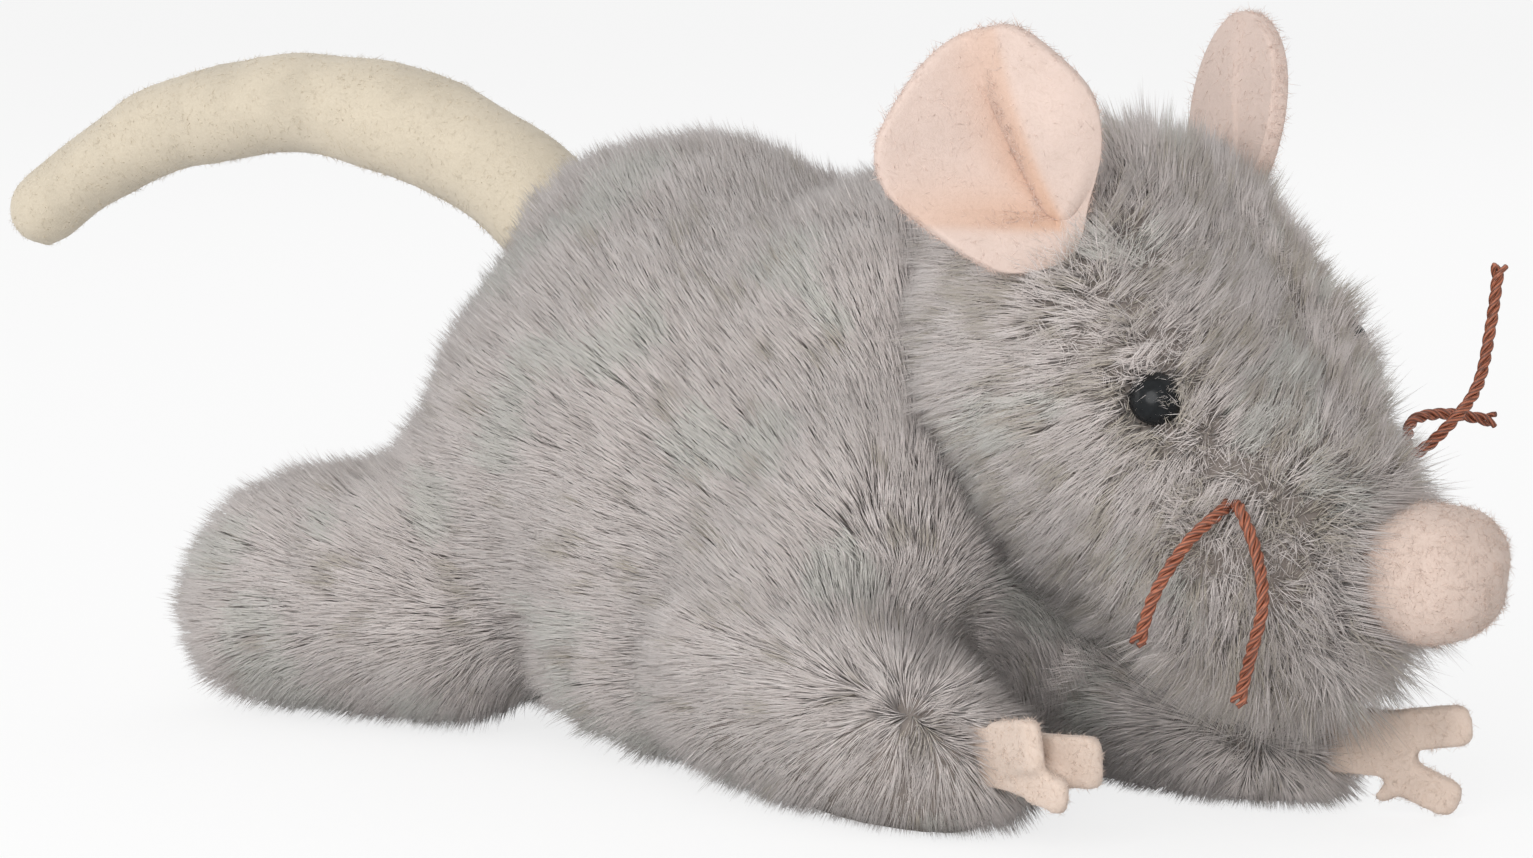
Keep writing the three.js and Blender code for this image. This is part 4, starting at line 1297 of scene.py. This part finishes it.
def sided(points, direction):
    """A direction given for the right half of the head, turned over for points on the left."""
    flip = np.ones_like(points)
    flip[:, 1] = -np.sign(points[:, 1])
    return np.array(direction) * flip


def head_nap(points):
    """The two naps in tufts, hanging over the whisker holes and lying forwards round the nose."""
    up, up_weight = brushed(points, BRIDGE_NAP)
    down, down_weight = brushed(points, CHEEK_NAP)
    share = up_weight / (up_weight + down_weight + 1e-9)
    nap = np.where((noise_at(points, TUFT) < 1.6 * (share - 0.5))[:, None], up, down)
    for gap, reach, heading in (
        (distance_to(points, *WHISKER_HOLES), 4.0, (-0.45, -0.6, -0.65)),
        (distance_to(points, NOSE) - 6, 4.5, (2.0, 0, 0)),
    ):
        share = bell(gap, reach)[:, None]
        nap = unit(nap) * (1 - share) + share * sided(points, heading)
    return nap


def ruffled(points):
    """No nap at all: the short undercoat stands every way."""
    return eddies_at(points, RUFFLE)


def scatter(obj, count, rng):
    """Random places on a piece, with their normals, in millimetres."""
    mesh = obj.data
    mesh.calc_loop_triangles()
    places, normals = points_of(obj), normals_of(obj)
    corners = read(mesh.loop_triangles, "vertices", 3, np.int32)
    a, b, c = (places[corners[:, i]] for i in range(3))
    area = np.linalg.norm(np.cross(b - a, c - a), axis=1)
    pick = rng.choice(len(corners), count, p=area / area.sum())
    u, v = np.sqrt(rng.random(count)), rng.random(count)
    weights = np.stack([1 - u, u * (1 - v), u * v], 1)
    place = sum(weights[:, i : i + 1] * places[corners[pick, i]] for i in range(3))
    normal = sum(weights[:, i : i + 1] * normals[corners[pick, i]] for i in range(3))
    return place, unit(normal)


def tree_of(obj):
    return BVHTree.FromObject(obj, bpy.context.evaluated_depsgraph_get())


def uncovered(points, normals, neighbours, reach=0.8):
    """Which roots have no neighbouring piece over them."""
    free = np.ones(len(points), bool)
    probes = points + normals * reach
    for obj in neighbours:
        tree, places = tree_of(obj), points_of(obj)
        low, high = places.min(0) - reach, places.max(0) + reach
        for i in np.nonzero(((probes > low) & (probes < high)).all(1) & free)[0]:
            probe = Vector(probes[i] * MM)
            place, normal, _, _ = tree.find_nearest(probe)
            if place is not None and (probe - place).dot(normal) < 0:
                free[i] = False
    return free


def buried(points, form):
    """How far points lie under the skin of a form."""
    tree = tree_of(form)
    depth = np.empty(len(points))
    for i, point in enumerate(points):
        place, normal, _, _ = tree.find_nearest(Vector(point * MM))
        depth[i] = (place - Vector(point * MM)).dot(normal) / MM
    return depth


def fibres(name, root, tip, normal, width, tone):
    """One mesh of thin closed locks, each three-sided at its root and drawn out to a tip."""
    count = len(root)
    axis = unit(tip - root)
    side = unit(np.cross(axis, normal))
    up = np.cross(axis, side)
    points = np.empty((count, 4, 3))
    points[:, 3] = tip
    for i in range(3):
        angle = 2 * math.pi * i / 3 + math.pi / 2
        points[:, i] = root + width[:, None] / 2 * (math.cos(angle) * side + math.sin(angle) * up)
    pattern = np.array([0, 2, 1, 0, 1, 3, 1, 2, 3, 2, 0, 3])
    corners = len(pattern)
    loops = (np.arange(count)[:, None] * 4 + pattern).ravel()
    uv = np.empty((count, corners, 2), np.float32)
    uv[:, :, 0] = np.clip(tone[:, None], 0.02, 0.98) + np.array([0, -0.008, 0.008, 0])[pattern]
    uv[:, :, 1] = np.array([0.03, 0.06, 0.06, 0.97])[pattern]
    mesh = bpy.data.meshes.new(name)
    mesh.vertices.add(count * 4)
    mesh.vertices.foreach_set("co", (points * MM).astype(np.float32).ravel())
    mesh.loops.add(count * corners)
    mesh.loops.foreach_set("vertex_index", loops.astype(np.int32))
    mesh.polygons.add(count * 4)
    mesh.polygons.foreach_set("loop_start", np.arange(0, count * corners, 3, dtype=np.int32))
    mesh.polygons.foreach_set("use_smooth", np.ones(count * 4, bool))
    mesh.uv_layers.new(name="OFBake").data.foreach_set("uv", uv.ravel())
    mesh.update(calc_edges=True)
    return add_object(name, mesh)


def grown(root, normal, nap, length, lift, rng, clump, pull, crimp=0.14, swirl=0.3):
    """Roots and tips of fibres that lean along the nap in small clumps, and the clump of each."""
    count = len(root)
    leaders = max(1, count // clump)
    tree = KDTree(leaders)
    for i, place in enumerate(root[:leaders]):
        tree.insert(place, i)
    tree.balance()
    leader = np.array([tree.find(place)[1] for place in root])
    eddy = eddies_at(root[:leaders], EDDY)
    heading = unit(nap - normal * (nap * normal).sum(1, keepdims=True))
    heading = heading + np.reshape(swirl, (-1, 1)) * eddy[leader]
    heading = unit(heading + rng.normal(0, 1, (count, 3)) * np.reshape(crimp, (-1, 1)))
    tip = root + length[:, None] * (np.cos(lift)[:, None] * heading + np.sin(lift)[:, None] * normal)
    tip += pull * rng.random(count)[:, None] * (tip[leader] - tip)
    return root - normal * SUNK, tip, leader


def tones(root, leader, rng, dull_from):
    """Tone of each fibre: clumps in pinkish grey, with cool patches and dull brown locks."""
    leaders = leader.max() + 1
    cool = noise_at(root[:leaders], 8.0)
    dull = np.array([noise.noise(Vector(p) / 2.6 + Vector((40, 0, 0))) for p in root[:leaders]])
    base = 0.34 + 0.26 * rng.random(leaders)
    base = np.where(cool > 0.3, 0.76 + 0.2 * rng.random(leaders), base)
    base = np.where(dull > dull_from, 0.06 + 0.16 * rng.random(leaders), base)
    return base[leader] + rng.normal(0, 0.08, len(leader))


def plant(form, nap, count, length_of, lift_of, neighbours, seed, loose_of=None, dull_from=0.44, **clumping):
    """Roots, tips, normals, widths and tones of the fibres on a form."""
    rng = np.random.default_rng(RNG_SEED + seed)
    place, normal = scatter(form, count, rng)
    length = length_of(place)
    keep = (length > SHORTEST) & (place[:, 2] > LOWEST)
    place, normal, length = place[keep], normal[keep], length[keep]
    free = uncovered(place, normal, neighbours)
    place, normal, length = place[free], normal[free], length[free]
    length = length * rng.uniform(*LENGTHS, len(length))
    lift = lift_of(place) + rng.normal(0, LIFT_SPREAD, len(length))
    if loose_of:
        loose = loose_of(place)
        clumping.update(crimp=0.22 + 0.5 * loose, swirl=0.5 + 1.6 * loose)
    root, tip, leader = grown(place, normal, nap(place), length, lift, rng, **clumping)
    for points in (root, tip):
        points[:, 2] = np.maximum(points[:, 2], FLOOR_GAP)
    width = bpy.context.scene.mouse_sizes.fibre_width / MM * rng.uniform(*WIDTHS, len(root))
    return root, tip, normal, width, tones(place, leader, rng, dull_from)


def add_pile(name, strands, body):
    """The strands as one or more meshes, each small enough to handle, on a body."""
    pieces = math.ceil(len(strands[0]) / FIBRES_IN_A_PIECE)
    for i in range(pieces):
        part = [values[i::pieces] for values in strands]
        pile = fibres(name + (f"_{i + 1}" if pieces > 1 else ""), *part)
        dress(pile, plush_pile(), "grey_plush", body)


def add_wisps(head, name, goals, ring, share, height, side=None, reach=(3.2, 5.2)):
    """Loose fibres that lie across the goals, from all sides or from one."""
    rng = np.random.default_rng(RNG_SEED + 30)
    place, normal = scatter(head, WISPS, rng)
    goals = np.array(goals)
    near = distance_to(place, *goals)
    kept = (near > ring[0]) & (near < ring[1])
    kept[kept] = rng.random(kept.sum()) < share
    place, normal = place[kept], normal[kept]
    nearest = goals[np.argmin([np.linalg.norm(place - goal, axis=1) for goal in goals], axis=0)]
    goal = nearest + normal * height + rng.normal(0, WISP_SPREAD, place.shape)
    if side:
        towards = sided(place, side)
        kept = ((place - nearest) * towards).sum(1) > -0.6
        goal = place - towards * 2 + normal * height
        place, normal, goal = place[kept], normal[kept], goal[kept]
    count = len(place)
    tip = place + unit(goal - place) * rng.uniform(*reach, (count, 1))
    tone = rng.uniform(0.35, 0.7, count)
    wisps = fibres(name, place - normal * SUNK, tip, normal, np.full(count, WISP_WIDTH), tone)
    dress(wisps, plush_pile(), "grey_plush", "head")


class MakePile(Step, bpy.types.Operator):
    """Plants the brushed pile on body, legs and head"""

    bl_idname = "catnip_mouse.make_pile"
    bl_label = "Pile"

    def make(self, sizes):
        self.cover_body(sizes, bpy.data.objects)
        self.cover_head(sizes, bpy.data.objects)

    def cover_body(self, sizes, objects):
        body, head, tail = objects["body_plush"], objects["head_plush"], objects["tail_felt"]
        hands = [objects[name + "_hand_felt"] for name in SIDES]
        form = whole_form("pile_form", -sizes.nap_depth / MM, 1.0)
        long = sizes.body_pile / MM

        def length(points):
            return long * np.clip(0.8 + 0.2 * distance_to(points, *STARS.values()) / 6, 0.8, 1)

        def lift(points):
            return 0.44 + 0.45 * bell(distance_to(points, *STARS.values()), 2.2)

        def where_legs_lie(points):
            return length(points) * (leg_of(points) > 0)

        def inside(points):
            return length(points) * (buried(points, form) > INNER_DEPTH)

        def under_chin(points):
            depth = buried(points, head)
            return length(points) * ((depth > 0) & (depth < CHIN_DEPTH) & (points[:, 2] < CHIN_TOP))

        def planted(skin, count, length_of, neighbours, seed):
            return plant(skin, body_nap, count, length_of, lift, neighbours, seed, clump=20, pull=0.3)

        strands = planted(form, sizes.body_fibres, length, [head, tail, *hands], 1)
        owner = leg_of(strands[0])
        for name, number in {"body": 0, **LEG_NUMBERS}.items():
            add_pile(name + "_pile", [values[owner == number] for values in strands], name)
        add_pile("chest_inner_pile", planted(form, INNER_CHEST, under_chin, [], 16), "body")
        add_pile("body_inner_pile", planted(body, INNER_BODY, where_legs_lie, [head, tail], 10), "body")
        for name, number in LEG_NUMBERS.items():
            inner = planted(objects[name + "_plush"], INNER_LEG, inside, hands, 10 + number)
            add_pile(name + "_inner_pile", inner, name)
        objects.remove(form)

    def cover_head(self, sizes, objects):
        head = objects["head_plush"]
        covers = [objects[name] for name in ("body_plush", "nose_felt", "right_ear_felt", "left_ear_felt")]
        eyes = [eye_place(side)[0] for side in SIDES.values()]
        rims = []
        for root, axes in map(ear_axes, SIDES.values()):
            rims += [root + np.array(EAR_OUTLINE[i]) @ axes for i in EAR_SEWN]
        short = sizes.face_pile / MM

        def length(points):
            """Longer round nose, ears and crown and under the chin, shorter on the seam, none on an eye."""
            to_nose, to_eyes = distance_to(points, NOSE), distance_to(points, *eyes)
            length = np.full(len(points), short)
            length *= 1 + 0.6 * bell(to_nose - 8, 3)
            length *= 1 + 0.3 * bell(distance_to(points, *rims), 4)
            length *= 1 - 0.3 * (bell(points[:, 1], 1.3) * climb(points[:, 2] - 28, 6))
            length += 2.2 * climb(22 - points[:, 2], 8)
            length *= 1 + 0.6 * bell(distance_to(points, CROWN), 4.5)
            length *= 1 + 0.25 * bell(to_eyes - 3.6, 1.5)
            length[(to_eyes < 2.5) | (distance_to(points, *WHISKER_HOLES) < 0.5)] = 0
            return length

        def lift(points):
            """Upright on the seam, the crown and round the eyes, flat round the nose."""
            seam = bell(points[:, 1], 2.0) * climb(points[:, 2] - 28, 6)
            by_eye = bell(distance_to(points, *eyes) - 2.5, 1.6)
            crown, nose = bell(distance_to(points, CROWN), 5), bell(distance_to(points, NOSE) - 8, 3)
            return 0.6 + 0.2 * seam + 0.3 * by_eye + 0.5 * crown - 0.2 * nose

        def tousled(points):
            """How unkempt the muzzle is."""
            muzzle = climb(points[:, 0] - 54, 9) * climb(36 - points[:, 2], 9)
            return muzzle * climb(distance_to(points, NOSE) - 7, 4)

        add_wisps(head, "eye_wisps", eyes, (2.3, 3.8), 0.12, 2.4, (0.6, 0.35, 0.7), (3.6, 5.8))
        add_wisps(head, "nose_wisps", [NOSE], (6.4, 9.5), 0.9, 0.5, (-2.5, 0, 0), (5.0, 7.6))
        add_wisps(head, "whisker_wisps", WHISKER_HOLES, (0.3, 3.6), 0.9, 2.2, (0.39, 0.47, 0.79))
        add_wisps(head, "ear_wisps", rims, (0.4, 3.6), 0.35, 1.6)
        strands = plant(
            head, head_nap, sizes.head_fibres, length, lift, covers, 8,
            loose_of=tousled, dull_from=0.14, clump=20, pull=0.7,
        )
        add_pile("head_pile", strands, "head")
        strands = plant(
            head, ruffled, UNDERCOAT, lambda points: 0.6 * length(points), lambda points: 1.05, covers, 9,
            dull_from=0.0, clump=6, pull=0.2,
        )
        add_pile("head_undercoat", strands, "head")


FUZZ = {
    # felt piece: body, fibres, length, colour
    "tail_felt": ("tail", 9000, 1.0, "cream_felt"),
    "nose_felt": ("head", 5000, 1.3, "nose_felt"),
    "right_ear_felt": ("right_ear", 9000, 1.4, "pink_felt"),
    "left_ear_felt": ("left_ear", 9000, 1.4, "pink_felt"),
    "right_hand_felt": ("right_hand", 2500, 0.9, "hand_felt"),
    "left_hand_felt": ("left_hand", 2500, 0.9, "hand_felt"),
}
FUZZ_WIDTH, FUZZ_SUNK = 0.06, 0.1
EAR_FACE_FUZZ = 0.12  # share of the fuzz that is left on an ear's face
FELT_CUT = {
    # width and length of the flat cut
    "right_ear_felt": (19, 21), "left_ear_felt": (19, 21),
    "right_hand_felt": (12, 18), "left_hand_felt": (12, 17),
}


class MakeFuzz(Step, bpy.types.Operator):
    """Raises the loose fibres of the felt"""

    bl_idname = "catnip_mouse.make_fuzz"
    bl_label = "Felt fuzz"

    def make(self, sizes):
        for i, (felt, (body, count, long, colour)) in enumerate(FUZZ.items()):
            rng = np.random.default_rng(RNG_SEED + 40 + i)
            obj = bpy.data.objects[felt]
            place, normal = scatter(obj, count, rng)
            if "ear" in felt:
                _, (_, _, face) = ear_axes(SIDES[felt.split("_")[0]])
                kept = (np.abs(normal @ face) < 0.6) | (rng.random(count) < EAR_FACE_FUZZ)
                place, normal, count = place[kept], normal[kept], kept.sum()
            length = long * rng.uniform(0.4, 1.2, count)
            lift = rng.uniform(0.05, 0.45, count)
            nap = rng.normal(0, 1, (count, 3))
            _, tip, _ = grown(place, normal, nap, length, lift, rng, clump=12, pull=0.3)
            tip[:, 2] = np.maximum(tip[:, 2], FLOOR_GAP)
            name, width = felt.replace("_felt", "_fuzz"), np.full(count, FUZZ_WIDTH)
            fuzz = fibres(name, place - normal * FUZZ_SUNK, tip, normal, width, rng.random(count))
            dress(fuzz, felt_fuzz(colour), "cream_felt" if colour == "cream_felt" else "pink_felt", body)
            if felt in FELT_CUT:
                obj.data.calc_loop_triangles()
                width, length = (s * MM for s in FELT_CUT[felt])


OPERATORS = (
    MakeStage, MakeWhiskers, MakeBody, MakeHead, MakeLegs, MakeTail, MakeNose, MakeEyes, MakeEars,
    MakeHands, MakeSachet, MakePile, MakeFuzz,
)


class MousePanel(bpy.types.Panel):
    """Lists the steps of the mouse"""

    bl_idname = "VIEW3D_PT_catnip_mouse"
    bl_label = "Catnip Mouse"
    bl_space_type = "VIEW_3D"
    bl_region_type = "UI"
    bl_category = "Catnip Mouse"

    def draw(self, context):
        for operator in OPERATORS:
            self.layout.operator(operator.bl_idname)
        for settings in (context.scene.mouse_sizes, context.scene.mouse_colours):
            for name in settings.bl_rna.properties.keys():
                if name not in ("rna_type", "name"):
                    self.layout.prop(settings, name)


CLASSES = (MouseSizes, MouseColours, *OPERATORS, MousePanel)


def register():
    for cls in CLASSES:
        bpy.utils.register_class(cls)
    bpy.types.Scene.mouse_sizes = PointerProperty(type=MouseSizes)
    bpy.types.Scene.mouse_colours = PointerProperty(type=MouseColours)


def unregister():
    del bpy.types.Scene.mouse_colours
    del bpy.types.Scene.mouse_sizes
    for cls in reversed(CLASSES):
        bpy.utils.unregister_class(cls)


def main():
    register()
    for operator in OPERATORS:
        group, name = operator.bl_idname.split(".")
        getattr(getattr(bpy.ops, group), name)()


if __name__ == "__main__":
    main()
